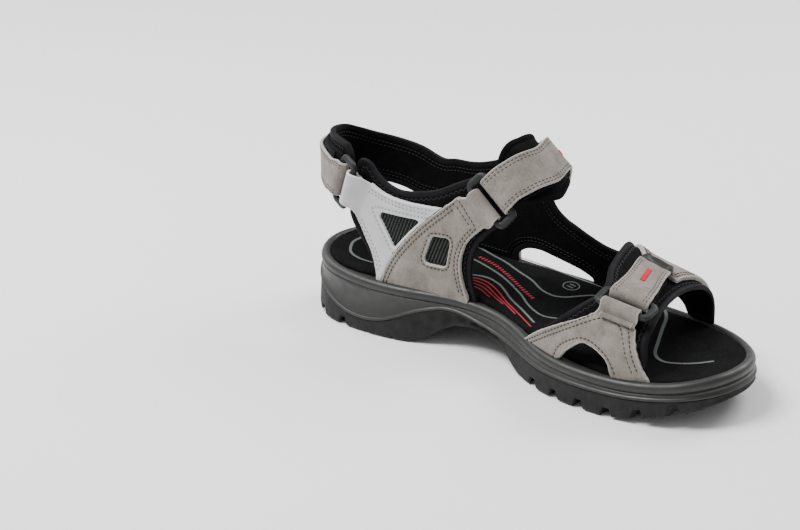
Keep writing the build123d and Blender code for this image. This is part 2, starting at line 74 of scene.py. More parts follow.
CAMERA_AZIMUTH, CAMERA_ELEVATION = 38.5, 21.0
CAMERA_DISTANCE = 1.0
CAMERA_LENS = 89.3
AIM = Vector((0, 0, 0.035))
AIM_IN_FRAME = (0.0657, 0.0071)     # tangents from the view axis to the aim point
LIGHT_AIM = Vector((0, 0, 0.04))
# Place, width and power of each soft box
LIGHTS = {"key": ((-0.45, -0.55, 1.3), 0.8, 30), "fill": ((-1.0, 0.1, 0.7), 0.9, 5),
          "back": ((0.2, 1.0, 0.9), 0.8, 13)}
SKY_STRENGTH = 0.55
FLOOR_TONE = (0.93, 0.93, 0.93, 1)
FLOOR_ROUGHNESS = 0.9
FLOOR_SIZE, FLOOR_DROP = 12, 0.0005
WHITE = (1, 1, 1, 1)


def make_camera():
    """Camera that looks past the sandal, so that it stands right of the middle."""
    azimuth, elevation = math.radians(CAMERA_AZIMUTH), math.radians(CAMERA_ELEVATION)
    back = Vector((math.sin(azimuth) * math.cos(elevation),
                   -math.cos(azimuth) * math.cos(elevation), math.sin(elevation)))
    right = (-back).cross(Vector((0, 0, 1))).normalized()
    up = right.cross(-back)
    turn = math.atan(AIM_IN_FRAME[0])
    tip = math.atan(AIM_IN_FRAME[1] * math.cos(turn))
    ahead = -back * math.cos(turn) - right * math.sin(turn)
    side = right * math.cos(turn) - back * math.sin(turn)
    forward = ahead * math.cos(tip) + up * math.sin(tip)
    top = up * math.cos(tip) - ahead * math.sin(tip)
    camera = bpy.data.objects.new("camera", bpy.data.cameras.new("camera"))
    camera.matrix_world = Matrix((side, top, -forward)).transposed().to_4x4()
    camera.location = AIM + back * CAMERA_DISTANCE
    camera.data.lens = CAMERA_LENS
    camera.data.sensor_width = 36
    bpy.context.scene.collection.objects.link(camera)
    bpy.context.scene.camera = camera


def area_light(name, place, size, power):
    """Soft box aimed at the sandal."""
    light = bpy.data.lights.new(name, "AREA")
    light.shape = "DISK"
    light.size = size
    light.energy = power
    lamp = bpy.data.objects.new(name, light)
    lamp.location = place
    lamp.rotation_euler = (LIGHT_AIM - Vector(place)).to_track_quat("-Z", "Y").to_euler()
    bpy.context.scene.collection.objects.link(lamp)


def make_studio():
    """Pale floor, pale surroundings and three soft lights."""
    bpy.ops.mesh.primitive_plane_add(size=FLOOR_SIZE, location=(0, 0, -FLOOR_DROP))
    floor = bpy.context.object
    floor.name = "studio_floor"
    paint = bpy.data.materials.new("floor")
    paint.use_nodes = True
    face = paint.node_tree.nodes["Principled BSDF"]
    face.inputs["Base Color"].default_value = FLOOR_TONE
    face.inputs["Roughness"].default_value = FLOOR_ROUGHNESS
    floor.data.materials.append(paint)
    world = bpy.data.worlds.new("studio")
    bpy.context.scene.world = world
    world.use_nodes = True
    sky = world.node_tree.nodes["Background"]
    sky.inputs["Color"].default_value = WHITE
    sky.inputs["Strength"].default_value = SKY_STRENGTH
    for name, light in LIGHTS.items():
        area_light(name, *light)


# ------------------------------------------------------------------ driving dimensions

SOLE_OUTLINE = [
    (-132.5, 0), (-124, 23), (-98, 37), (-60, 39), (-20, 39), (25, 46), (56, 48),
    (90, 42), (116, 25), (130, 5), (132.5, -10), (127, -28), (106, -43), (74, -48),
    (40, -44), (8, -31), (-22, -29), (-50, -38), (-85, -42), (-110, -37), (-128, -19),
]
RIM_Z = 34
RIM_SCALE = (0.985, 0.95)
FOOTBED_OUTLINE = [
    (-127, 0), (-119, 19.5), (-96, 30), (-60, 31.2), (-20, 32), (10, 36.8), (28, 37.5),
    (56, 40.3), (86, 36), (110, 23.5), (125, 4), (127, -9.5), (122, -24.5), (104, -36.5),
    (74, -39.2), (40, -34.6), (24, -31), (6, -26), (-21, -21.8), (-50, -29.6), (-76, -31.2),
    (-97, -33), (-111, -29), (-123, -15),
]
UNDERSIDE = [(-132.5, 9), (-122, 3), (-108, -0.5), (-82, -1), (-56, -0.5), (-44, 2), (-25, 12),
             (0, 10), (18, 1), (34, -0.8), (56, -1.2), (78, -0.5), (100, 3), (120, 8),
             (132.5, 13)]
FLARE_LINE = [(-132.5, 24), (-115, 17), (-95, 9), (-80, 7), (-65, 9), (-45, 17), (-30, 20),
              (-10, 16), (10, 13), (40, 11), (80, 11), (110, 13), (132.5, 16)]
RIM_LINE = [(-132.5, 33), (-110, 31), (-80, 29), (-40, 28), (0, 25), (40, 20), (80, 19),
            (110, 21), (132.5, 25)]
TREAD_GROOVES = [-112, -93, 34, 50, 66, 82, 98, 114]
TREAD_DEPTH = 4.0
RECESS = 8.0            # footbed stack under the rim
COVER_DROP = 1.3
COVER_THICK = 1.2
COVER_PROUD = 1.5       # height of the soft cover over its flat CAD layer

FOOTBED_HALF = [(-127, 3), (-110, 26), (-96, 31.3), (-60, 30.5), (-20, 27), (24, 34),
                (56, 39.5), (86, 37.6), (110, 28.5), (124, 14), (127, 3)]
FOOTBED_MIDDLE = [(-127, 0), (-96, -1.5), (-60, 0.8), (-20, 5), (24, 3.2), (56, 1), (86, -1),
                  (110, -4.5), (127, -9)]

# x, then half widths: inner side at the base and above, outer side at the base and above
FORM_WIDTHS = [
    (-132, 30, 29, 30, 29), (-100, 31, 29, 31, 29), (-60, 31.7, 29.5, 31.7, 31.5),
    (-20, 22.6, 25.5, 32.5, 32), (5, 27, 26, 36, 34), (30, 33, 31, 38, 37),
    (60, 40, 38.5, 41, 40.5), (85, 39, 38.5, 37, 37), (110, 31, 31, 25, 25),
]
FORM_CREST = [(-132, 400), (-88, 330), (-60, 220), (-40, 157), (-20, 118), (-3, 99.5),
              (12, 85.5), (30, 70), (48, 55.8), (61, 50.6), (80, 46.6), (95, 43), (110, 39)]
FORM_SHARPNESS = [(-132, 2.4), (0, 2.4), (70, 2.9), (110, 2.9)]
FORM_BASE = 20
FORM_FLARE = 14
HEEL_CENTRE = -84
HEEL_RADIUS = 40

# Lifts of the inner and outer face of each layer over the form
LINING = (0.2, 2.0)
MESH = (2.2, 2.8)
LEATHER = (3.0, 4.6)
COLLAR = (0.2, 2.8)
PAD = (0.2, 2.5)
UNDER_STRAP = (2.9, 4.5)
LOOP_PATCH = (4.8, 5.3)
HOOK_PATCH = (5.7, 6.2)
FLAP = (6.4, 8.0)
PULL_TAB = (6.2, 8.4)
FLAP_MIDDLE = 7.2
BAR_LIFT = 6.7          # middle of a ring's far bar
HEEL_EXTRA = 0.5        # the heel strap lies on the thicker collar
RING_PITCH = 9.6        # between the middles of a ring's two bars
RING_SPAN = 27
RING_CORNER = 2.4

# Order along the strap, two surface coordinates of its middle, and their change to its edge
INSTEP_PATH = [
    (0, -2.8, -15.4, 8.5, -1.8), (1, 2.6, -9, 8.2, -1.2), (2, 5, 0, 8, 0),
    (3, 1.5, 8.5, 8, 1), (4, -5, 16.5, 8.2, 1.9), (5, -11.5, 25, 8.5, 2.7),
    (6, -17.5, 33, 9, 4),
]
FOREFOOT_PATH = [
    (0, 78, -41.5, 9.6, -0.5), (1, 75.5, -28, 9.6, 0), (2, 72.2, -10, 9.4, 0),
    (3, 68.5, 10.5, 9.8, 0.5), (4, 66.5, 27.5, 10, 1),
]
HEEL_PATH = [
    (0, -73, 78.8, 6.6, -10), (1, -56, 80.2, 3.6, -11.2), (2, -31, 80.3, 1.2, -11.8),
    (3, -3, 79, 0, -12), (4, 25, 75, -1, -12), (5, 50, 70, -1.5, -11.8),
    (6, 72, 67, -2, -11.5),
]


# ------------------------------------------------------------------ small tools


def hermite(t, first, last, leave, arrive):
    """Cubic between two values for t from 0 to 1, with a slope at each end."""
    return ((2 * t**3 - 3 * t**2 + 1) * first + (3 * t**2 - 2 * t**3) * last
            + (t**3 - 2 * t**2 + t) * leave + (t**3 - t**2) * arrive)


def eased(t):
    """Share from 0 to 1 that leaves and arrives level, held past both ends."""
    t = np.clip(t, 0, 1)
    return t**2 * (3 - 2 * t)


def bell(t):
    """1 at 0, falling smoothly to 0 on both sides."""
    return np.exp(-(t**2))


def round_over(d, radius):
    """Height of a quarter round at a distance from its edge, as a share of 1."""
    return np.sqrt(1 - (1 - np.clip(d / radius, 0, 1)) ** 2)


def unit(v):
    """Vectors of length one."""
    return v / np.maximum(np.linalg.norm(v, axis=-1, keepdims=True), 1e-9)


def left_of(run):
    """Unit vectors on the left of plane vectors."""
    run = unit(run)
    return np.stack([-run[:, 1], run[:, 0]], 1)


def loop_left(points):
    """Unit vectors on the left of a closed loop of points."""
    return left_of(np.roll(points, -1, axis=0) - np.roll(points, 1, axis=0))


def closed(points):
    """Loop with its first point repeated at its end."""
    return np.vstack([points, points[:1]])


def level(height):
    """The same lift at every distance from an edge."""
    return lambda d: height + 0 * d


def stack(x, y, z):
    """Three arrays as one array of points."""
    return np.stack(np.broadcast_arrays(x, y, z), -1).astype(float)


# ------------------------------------------------------------------ the form


def along(stations, x, column=1):
    """Smooth value at x through stations, held level past both ends."""
    places = np.array([s[0] for s in stations], float)
    values = np.array([s[column] for s in stations], float)
    slopes = np.empty_like(values)
    slopes[1:-1] = (values[2:] - values[:-2]) / (places[2:] - places[:-2])
    slopes[0] = (values[1] - values[0]) / (places[1] - places[0])
    slopes[-1] = (values[-1] - values[-2]) / (places[-1] - places[-2])
    x = np.clip(x, places[0], places[-1])
    i = np.clip(np.searchsorted(places, x, side="right") - 1, 0, len(places) - 2)
    run = places[i + 1] - places[i]
    return hermite((x - places[i]) / run, values[i], values[i + 1], run * slopes[i],
                   run * slopes[i + 1])


def section(x, side):
    """Half widths at the base and above, crest, sharpness and heel rounding of the form."""
    behind = np.clip((HEEL_CENTRE - x) / HEEL_RADIUS, 0, 1)
    medial = np.asarray(side) < 0
    base = np.where(medial, along(FORM_WIDTHS, x, 1), along(FORM_WIDTHS, x, 3))
    body = np.where(medial, along(FORM_WIDTHS, x, 2), along(FORM_WIDTHS, x, 4))
    crest, power = along(FORM_CREST, x), along(FORM_SHARPNESS, x)
    return base, body, crest, power, np.sqrt(1 - behind**2)


def width_at(shape, z):
    """Half width of a section of the form at height z."""
    base, body, crest, power, heel = shape
    up = np.maximum(z - FORM_BASE, 0)
    width = body + (base - body) * np.exp(-((up / FORM_FLARE) ** 2))
    share = np.clip(up / (crest - FORM_BASE), 0, 1)
    return width * (1 - share**power) ** (1 / power) * heel


def half_width(x, z, side):
    """Half width of the form at x and height z on one side; round behind the heel."""
    return width_at(section(x, side), z)


def arch_point(x, turn):
    """Point of the form over x, turned from the crest: negative is medial."""
    x, turn = np.broadcast_arrays(np.asarray(x, float), np.asarray(turn, float))
    side = np.where(turn < 0, -1, 1)
    reach_y, reach_z = np.abs(np.sin(np.radians(turn))), np.cos(np.radians(turn))
    shape = section(x, side)
    low, high = np.zeros(x.shape), np.full(x.shape, 450.0)
    for _ in range(34):
        reach = (low + high) / 2
        z = FORM_BASE + reach * reach_z
        within = (z < shape[2]) & (reach * reach_y < width_at(shape, z))
        low, high = np.where(within, reach, low), np.where(within, high, reach)
    return stack(x, side * low * reach_y, FORM_BASE + low * reach_z)


def side_point(side):
    """Maps x and height to the side wall of the form."""
    return lambda x, z: stack(x, side * half_width(x, z, side), z)


def heel_point(turn, z):
    """Maps a turn round the heel (0 is straight back, + is lateral) and a height."""
    side = np.where(np.asarray(turn) < 0, -1, 1)
    angle = np.radians(np.minimum(np.abs(turn), 90))
    past = np.maximum(np.abs(turn) - 90, 0) * math.pi / 180 * HEEL_RADIUS
    x = HEEL_CENTRE - HEEL_RADIUS * np.cos(angle) + past
    return stack(x, side * half_width(x, z, side), z)


def footbed_point(x, y):
    """Top of the footbed: proud of the rim, dished a little, raised under the arch."""
    half = np.maximum(along(FOOTBED_HALF, x), 1)
    middle = along(FOOTBED_MIDDLE, x)
    across = np.clip(np.abs(y - middle) / half, 0, 1)
    heel = bell((x + 95) / 45)
    arch = bell((x + 12) / 32) * np.where(np.asarray(y) < middle, 1, 0.8)
    dish = (1.6 * heel + 2.6 * arch) * across**2 - 1.6 * heel - 0.8 * arch
    return stack(x, y, along(RIM_LINE, x) - COVER_DROP + dish + COVER_PROUD)


footbed_point.upward = True


def normals(surface, u, v):
    """Unit normals of a surface, away from the foot or upward."""
    if hasattr(surface, "normal"):
        return surface.normal(u, v)
    step = 0.05
    across = surface(u + step, v) - surface(u - step, v)
    up = surface(u, v + step) - surface(u, v - step)
    n = unit(np.cross(across, up))
    if getattr(surface, "upward", False):
        outward = stack(0 * u, 0 * v, 1)
    else:
        point = surface(u, v)
        round_heel = point[..., 0] < HEEL_CENTRE
        outward = stack(np.where(round_heel, point[..., 0] - HEEL_CENTRE, 0), point[..., 1],
                        np.where(round_heel, 0, point[..., 2] - FORM_BASE))
    sign = np.where((n * outward).sum(-1, keepdims=True) < 0, -1, 1)
    return n * sign


def lifted(surface, u, v, lift):
    """Points of a surface pushed out along its normals."""
    return surface(u, v) + normals(surface, u, v) * np.asarray(lift)[..., None]


def on_path(surface, path):
    """Maps (order along a strap, -1 to 1 across it) to a surface."""
    def place(s, v):
        u = along(path, s, 1) + v * along(path, s, 3)
        w = along(path, s, 2) + v * along(path, s, 4)
        return surface(u, w)
    return place


INSTEP = on_path(arch_point, INSTEP_PATH)
FOREFOOT = on_path(arch_point, FOREFOOT_PATH)
HEEL = on_path(heel_point, HEEL_PATH)
STRAPS = {"heel": (HEEL, HEEL_EXTRA), "instep": (INSTEP, 0), "forefoot": (FOREFOOT, 0)}


# ------------------------------------------------------------------ flat drawing


def reach_of(points):
    """Distance along a polyline at each of its points."""
    return np.concatenate([[0], np.cumsum(np.linalg.norm(np.diff(points, axis=0), axis=1))])


def even_places(reach, step):
    """Even places along a line, about a step apart."""
    return np.linspace(0, reach[-1], max(2, math.ceil(reach[-1] / step) + 1))


def read_at(s, reach, values):
    """Rows of values at places along a polyline."""
    return np.stack([np.interp(s, reach, column) for column in values.T], 1)


def smooth_line(points, step):
    """Polyline cut into even steps, with no smoothing."""
    reach = reach_of(points)
    return read_at(even_places(reach, step), reach, points)


def smooth(points, step=0.8):
    """Even points along a smooth curve through the given ones; two points are a line."""
    p = np.array(points, float)
    if len(p) == 2:
        return smooth_line(p, step)
    reach = reach_of(p)
    s = even_places(reach, step)
    return np.stack([along(list(zip(reach, column)), s) for column in p.T], 1)


def loop(*runs, step=0.8):
    """Closed outline of runs joined end to end."""
    return np.concatenate([smooth(run, step)[:-1] for run in runs])


def run_loop(*runs, step=0.8):
    """Closed outline of runs, each a curve or a point, with straight lines between them."""
    parts = []
    for run, after in zip(runs, runs[1:] + runs[:1]):
        parts += [run] * (len(run) > 1) + [[run[-1], after[0]]]
    return loop(*parts, step=step)


def rounded(corners, radius, step=0.6):
    """Closed polygon with round corners."""
    corners = np.array(corners, float)
    points = []
    for i, corner in enumerate(corners):
        back, ahead = corners[i - 1] - corner, corners[(i + 1) % len(corners)] - corner
        back, ahead = back / np.linalg.norm(back), ahead / np.linalg.norm(ahead)
        half = math.acos(np.clip(back @ ahead, -1, 1)) / 2
        centre = corner + (back + ahead) / np.linalg.norm(back + ahead) * radius / math.sin(half)
        first = corner + back * radius / math.tan(half) - centre
        last = corner + ahead * radius / math.tan(half) - centre
        start = math.atan2(first[1], first[0])
        sweep = (math.atan2(last[1], last[0]) - start + math.pi) % (2 * math.pi) - math.pi
        for k in range(6):
            angle = start + sweep * k / 5
            points.append(centre + radius * np.array([math.cos(angle), math.sin(angle)]))
    return resample(np.array(points), step)


def resample(points, step):
    """Closed line cut into even steps."""
    return smooth_line(closed(points), step)[:-1]


def beside(line, distance):
    """Line parallel to a polyline, on its left for a positive distance."""
    return line + left_of(np.gradient(line, axis=0)) * distance


# ------------------------------------------------------------------ mesh making


def add_mesh(name, points, faces, material, sharp=40):
    """Mesh object from points in millimetres, smooth but for edges sharper than an angle."""
    mesh = bpy.data.meshes.new(name)
    mesh.from_pydata((np.asarray(points) * MM).tolist(), [], faces)
    mesh.validate()
    mesh.shade_smooth()
    mesh.set_sharp_from_angle(angle=math.radians(sharp))
    mesh.materials.append(material)
    piece = bpy.data.objects.new(name, mesh)
    bpy.context.scene.collection.objects.link(piece)
    return piece


def place_piece(piece, body, slot, *nodes):
    """Rides on a body and stands for CAD nodes; the slot is not used."""
    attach(piece, body)
    if nodes:
        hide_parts(*nodes)


def edge_distance(points, lines):
    """Shortest distance from each point to any of the polylines."""
    best = np.full(len(points), 1e9)
    for line in lines:
        start, run = line[:-1], line[1:] - line[:-1]
        length = np.maximum((run**2).sum(1), 1e-12)
        off = points[:, None] - start[None]
        t = np.clip((off * run).sum(2) / length, 0, 1)
        gap = off - t[..., None] * run
        best = np.minimum(best, np.sqrt((gap**2).sum(2)).min(1))
    return best


def inside(points, loops):
    """True for points inside an outline and outside its holes."""
    odd = np.zeros(len(points), bool)
    for edge in loops:
        a, b = edge, np.roll(edge, -1, axis=0)
        x, y = points[:, :1], points[:, 1:]
        crosses = (a[:, 1] > y) != (b[:, 1] > y)
        rise = np.where(b[:, 1] == a[:, 1], 1e-12, b[:, 1] - a[:, 1])
        at = a[:, 0] + (y - a[:, 1]) / rise * (b[:, 0] - a[:, 0])
        odd ^= (np.sum(crosses & (x < at), axis=1) % 2).astype(bool)
    return odd


def triangulate(loops, pitch, rows):
    """Points and triangles that fill an outline with rows beside its edges."""
    borders = [closed(edge) for edge in loops]
    points = list(loops)
    for row in rows:
        for border in borders:
            for sign in (1, -1):
                moved = beside(border, sign * row)[:-1]
                keep = inside(moved, loops) & (edge_distance(moved, borders) > 0.96 * row)
                points.append(moved[keep])
    low, high = loops[0].min(0), loops[0].max(0)
    ys = np.arange(low[1], high[1], pitch * 0.87)
    grid = np.array([(x + (k % 2) * pitch / 2, y) for k, y in enumerate(ys)
                     for x in np.arange(low[0], high[0], pitch)])
    grid = grid[inside(grid, loops)]
    grid = grid[edge_distance(grid, borders) > rows[-1] + 0.55 * pitch]
    points = np.concatenate(points + [grid])
    edges, first = [], 0
    for edge in loops:
        count = len(edge)
        edges += [(first + k, first + (k + 1) % count) for k in range(count)]
        first += count
    verts, _, faces, *_ = delaunay_2d_cdt([Vector(p) for p in points], edges, [], 0, 1e-4)
    verts = np.array([(v.x, v.y) for v in verts])
    faces = np.array([f for f in faces if len(f) == 3])
    keep = inside(verts[faces].mean(1), loops)
    return verts, faces[keep]


def close_sides(faces, count):
    """Faces of a closed solid: a skin, its twin count points later, and the walls."""
    faces = [tuple(int(i) for i in f) for f in faces]
    sides = {(f[k], f[(k + 1) % len(f)]) for f in faces for k in range(len(f))}
    walls = [(b, a, a + count, b + count) for a, b in sorted(sides) if (b, a) not in sides]
    under = [tuple(i + count for i in reversed(f)) for f in faces]
    return faces + under + walls


LEATHER_ROWS = (0.25, 0.6, 1.1, 1.7, 2.3, 2.9, 3.5, 4.1)
BOUND_ROWS = (0.12, 0.35, 0.7, 1.2, 1.8, 2.4, 2.9, 3.3, 3.9)
BAND_WIDTH = 3.0        # bound edge of the linings


def bound_edge(layer, bulge=0.35):
    """Lifts of a padded lining: round edge, a bound band, and a dip beside the band."""
    low, high = layer
    middle, half = (low + high) / 2, (high - low) / 2

    def bulk(d):
        band = bulge * np.sqrt(np.clip(1 - (2 * d / BAND_WIDTH - 1) ** 2, 0, 1))
        dip = 0.3 * bell((d - BAND_WIDTH - 0.2) / 0.45)
        return 0.06 + (half - 0.06) * round_over(d, half) + band - dip

    return lambda d: middle + bulk(d), lambda d: middle - np.minimum(bulk(d), half)


def panel(name, surface, loops, lifts, material, metric=(1, 1), pitch=1.7,
          rows=LEATHER_ROWS, seams=(), relief=None):
    """Closed sheet over a surface, cut to an outline with holes.

    metric is millimetres per unit of each surface coordinate, lifts the heights of the
    outer and inner faces against the distance to the edge, seams the sewn lines pressed
    into the outer face, and relief a further height over it.
    """
    metric = np.array(metric, float)
    flat = [edge * metric for edge in loops]
    verts, faces = triangulate(flat, pitch, rows)
    gap = edge_distance(verts, [closed(edge) for edge in flat])
    u, v = (verts / metric).T
    top, under = lifts[0](gap), lifts[1](gap)
    if seams:
        dip = edge_distance(verts, [line * metric for line in seams])
        top = top - 0.36 * bell(dip / 0.6)
    if relief is not None:
        top = top + relief(u, v)
    outer, inner = lifted(surface, u, v, top), lifted(surface, u, v, under)
    a, b, c = (outer[faces[:, k]] for k in range(3))
    away = (np.cross(b - a, c - a) * normals(surface, u, v)[faces[:, 0]]).sum(1)
    if np.median(away) < 0:
        faces = faces[:, ::-1]
    piece = add_mesh(name, np.concatenate([outer, inner]), close_sides(faces, len(verts)),
                     material)
    store(piece, "rim", gap)
    if relief is not None:
        store(piece, "relief", relief(u, v))
    return piece


def store(piece, name, values):
    """Keeps a value of each point of a two-sided sheet for its material."""
    kept = piece.data.attributes.new(name, "FLOAT", "POINT")
    kept.data.foreach_set("value", np.tile(np.ravel(values), 2).astype(np.float32))


def shell(name, middle, out, half, material):
    """Closed sheet from a grid of middle points, normals and half thicknesses."""
    rows, columns = half.shape
    thick = out * half[..., None]
    points = np.concatenate([(middle + thick).reshape(-1, 3), (middle - thick).reshape(-1, 3)])
    index = np.arange(rows * columns).reshape(rows, columns)
    faces = np.stack([index[:-1, :-1], index[1:, :-1], index[1:, 1:], index[:-1, 1:]], -1)
    faces = faces.reshape(-1, 4)
    p = points[faces[len(faces) // 2]]
    turn = np.cross(p[1] - p[0], p[3] - p[0]) @ out.reshape(-1, 3)[faces[len(faces) // 2][0]]
    if turn < 0:
        faces = faces[:, ::-1]
    return add_mesh(name, points, close_sides(faces, rows * columns), material)


def edge_profile(gap, half, radius, least):
    """Half thickness near an edge: rounded over a radius down to a share of it."""
    return half * (least + (1 - least) * round_over(gap, radius))


# ------------------------------------------------------------------ thread

THREAD_SIDES = 6
THREAD_RINGS = ((-1, 0.3), (-0.86, 0.85), (-0.4, 1), (0.4, 1), (0.86, 0.85), (1, 0.3))


def threads(name, starts, ends, out, radius, material, sink=0.25):
    """One mesh of short lengths of thread that dive into the surface at both ends."""
    middle, half = (starts + ends) / 2, (ends - starts) / 2
    length = np.linalg.norm(half, axis=1, keepdims=True)
    ahead = half / np.maximum(length, 1e-9)
    side = unit(np.cross(ahead, out))
    up = np.cross(side, ahead)
    points, faces, count = [], [], THREAD_SIDES * len(THREAD_RINGS)
    for place, share in THREAD_RINGS:
        for k in range(THREAD_SIDES):
            angle = 2 * math.pi * k / THREAD_SIDES
            points.append(middle + half * place - up * sink * place**4
                          + (side * math.cos(angle) + up * math.sin(angle)) * radius * share)
    points = np.stack(points, 1).reshape(-1, 3)
    template = [tuple(range(THREAD_SIDES))[::-1]]
    for r in range(len(THREAD_RINGS) - 1):
        for k in range(THREAD_SIDES):
            a, b = r * THREAD_SIDES + k, r * THREAD_SIDES + (k + 1) % THREAD_SIDES
            template.append((a, b, b + THREAD_SIDES, a + THREAD_SIDES))
    template.append(tuple(range(count - THREAD_SIDES, count)))
    for n in range(len(middle)):
        faces += [tuple(n * count + i for i in f) for f in template]
    return add_mesh(name, points, faces, material, 80)


def seam_points(surface, line, lift, step):
    """Points and normals at even steps along a line drawn on a surface."""
    fine = smooth_line(line, np.linalg.norm(np.diff(line, axis=0), axis=1).sum() / 400)
    height = lift(*fine.T) if callable(lift) else np.full(len(fine), lift)
    points = lifted(surface, *fine.T, height)
    reach = reach_of(points)
    s = np.arange(step / 2, reach[-1], step)
    return read_at(s, reach, points), read_at(s, reach, normals(surface, *fine.T))


def stitch_rows(name, surface, lines, lift, material, pitch=2.3, gap=0.8, radius=0.25):
    """Running stitches along lines on a surface."""
    starts, ends, outs = [], [], []
    for line in lines:
        points, out = seam_points(surface, line, lift, pitch / 2)
        count = (len(points) - 1) // 2
        if count < 1:
            continue
        first, last = points[0:2 * count:2], points[1:2 * count + 1:2]
        reach = (last - first) * (pitch - gap) / pitch
        starts.append(first - reach * 0.5)
        ends.append(first + reach * 1.5)
        outs.append(out[0:2 * count:2])
    return threads(name, *map(np.concatenate, (starts, ends, outs)), radius, material)


def zigzag_rows(name, surface, lines, lift, material, pitch=1.5, swing=0.75, radius=0.2):
    """Zigzag overlock stitches along lines on a surface."""
    starts, ends, outs = [], [], []
    for line in lines:
        points, out = seam_points(surface, line, lift, pitch)
        side = unit(np.cross(np.gradient(points, axis=0), out))
        sign = np.where(np.arange(len(points)) % 2, 1, -1)[:, None]
        corner = points + side * swing * sign
        starts.append(corner[:-1])
        ends.append(corner[1:])
        outs.append(out[:-1])
    return threads(name, *map(np.concatenate, (starts, ends, outs)), radius, material, sink=0.12)


# ------------------------------------------------------------------ sole unit

SPINE_STATIONS = 420
HALF_LENGTH = 132.5


def closed_curve(points, count=1600):
    """Dense points of the smooth closed curve through the given ones."""
    p = np.array(points, float)
    n = len(p)
    step = np.linalg.norm(np.roll(p, -1, axis=0) - p, axis=1)
    back = np.roll(step, 1)
    system = np.zeros((n, n))
    for i in range(n):
        system[i, i - 1] += 1 / back[i]
        system[i, i] += 2 * (1 / back[i] + 1 / step[i])
        system[i, (i + 1) % n] += 1 / step[i]
    ahead, behind = np.roll(p, -1, axis=0) - p, p - np.roll(p, 1, axis=0)
    slopes = np.linalg.solve(system, 3 * (behind / back[:, None]**2 + ahead / step[:, None]**2))
    reach = np.concatenate([[0], np.cumsum(step)])
    s = np.linspace(0, reach[-1], count, endpoint=False)
    i = np.clip(np.searchsorted(reach, s, side="right") - 1, 0, n - 1)
    j = (i + 1) % n
    h = step[i][:, None]
    return hermite((s - reach[i])[:, None] / h, p[i], p[j], h * slopes[i], h * slopes[j])


def plan_loop(points, theta):
    """Loop of points at x places given by an angle: back at 0, the outer side first."""
    curve = closed_curve(points)
    tail, nose = curve[:, 0].argmin(), curve[:, 0].argmax()
    curve = np.roll(curve, -tail, axis=0)
    nose = (nose - tail) % len(curve)
    outer = curve[:nose + 1]
    inner = np.vstack([curve[nose:], curve[:1]])[::-1]
    low, high = curve[0, 0], curve[nose, 0]
    x = (low + high) / 2 - (high - low) / 2 * np.cos(theta)
    y = np.where(theta <= math.pi, np.interp(x, outer[:, 0], outer[:, 1]),
                 np.interp(x, inner[:, 0], inner[:, 1]))
    return np.stack([x, y], 1)


def make_theta():
    """Angles round the sole, closer beside each tread groove, and symmetric."""
    half = list(np.linspace(0, math.pi, SPINE_STATIONS))
    for x in TREAD_GROOVES:
        for d in (-3.35, -3.05, -1.85, -1.55, 1.55, 1.85, 3.05, 3.35):
            half.append(math.acos(np.clip(-(x + d) / HALF_LENGTH, -1, 1)))
    half = np.unique(np.round(half, 6))
    return np.concatenate([half, 2 * math.pi - half[-2:0:-1]])


THETA = make_theta()
SOLE_LOOP = plan_loop(SOLE_OUTLINE, THETA)
FOOTBED_LOOP = plan_loop(FOOTBED_OUTLINE, THETA)
SOLE_OUT = loop_left(SOLE_LOOP)             # both loops run clockwise, their left is outside
FOOTBED_OUT = loop_left(FOOTBED_LOOP)
FLARE_Z = along(FLARE_LINE, SOLE_LOOP[:, 0])
SOLE_RIM_Z = along(RIM_LINE, SOLE_LOOP[:, 0])


def wall_row(z, offset):
    """Loop of points on the tapered side of the sole, pushed out by an offset."""
    share = np.asarray(z)[:, None] / RIM_Z
    scale = 1 + (np.array(RIM_SCALE) - 1) * share
    plan = SOLE_LOOP * scale + SOLE_OUT * np.asarray(offset + 0 * z)[:, None]
    return np.column_stack([plan, z])


def lofted(name, rows, material, cap_last=True):
    """Closed solid through rows of matching loops; caps join the two sides straight."""
    n, half = len(rows[0]), len(rows[0]) // 2
    faces = []
    for r in range(len(rows) - 1):
        for k in range(n):
            a, b = r * n + k, r * n + (k + 1) % n
            faces.append((a, a + n, b + n, b))
    caps = [(0, False), ((len(rows) - 1) * n, True)]
    for base, flip in caps[:1 + cap_last]:
        for k in range(half):
            quad = [base + k, base + k + 1, base + (n - k - 1) % n, base + (n - k) % n]
            quad = list(dict.fromkeys(quad))
            faces.append(tuple(quad[::-1] if flip else quad))
    return add_mesh(name, np.concatenate(rows), faces, material)


# Height over the flare line and outward offset of the bead at the midsole's foot
FOOT_BEAD = ((-0.6, -0.8), (-0.25, -0.1), (0.1, 0.45), (0.55, 0.62), (1.0, 0.5), (1.35, 0.1),
             (1.65, -0.2), (2.1, -0.28))
# Depth under the rim line and outward offset of the crease and the rounded rim
RIM_ROUND = ((5.6, -0.25), (5.25, -0.45), (4.95, -0.75), (4.7, -0.6), (4.4, -0.2), (3.8, 0.1),
             (3.0, 0.28), (2.1, 0.25), (1.3, 0.0), (0.7, -0.45), (0.25, -1.1), (0.04, -1.9),
             (0.0, -2.7), (0.15, -3.4), (0.5, -3.95))
SIDE_FOOT, SIDE_TOP = 2.1, 5.9      # the hollowed side runs from over the bead to under the rim


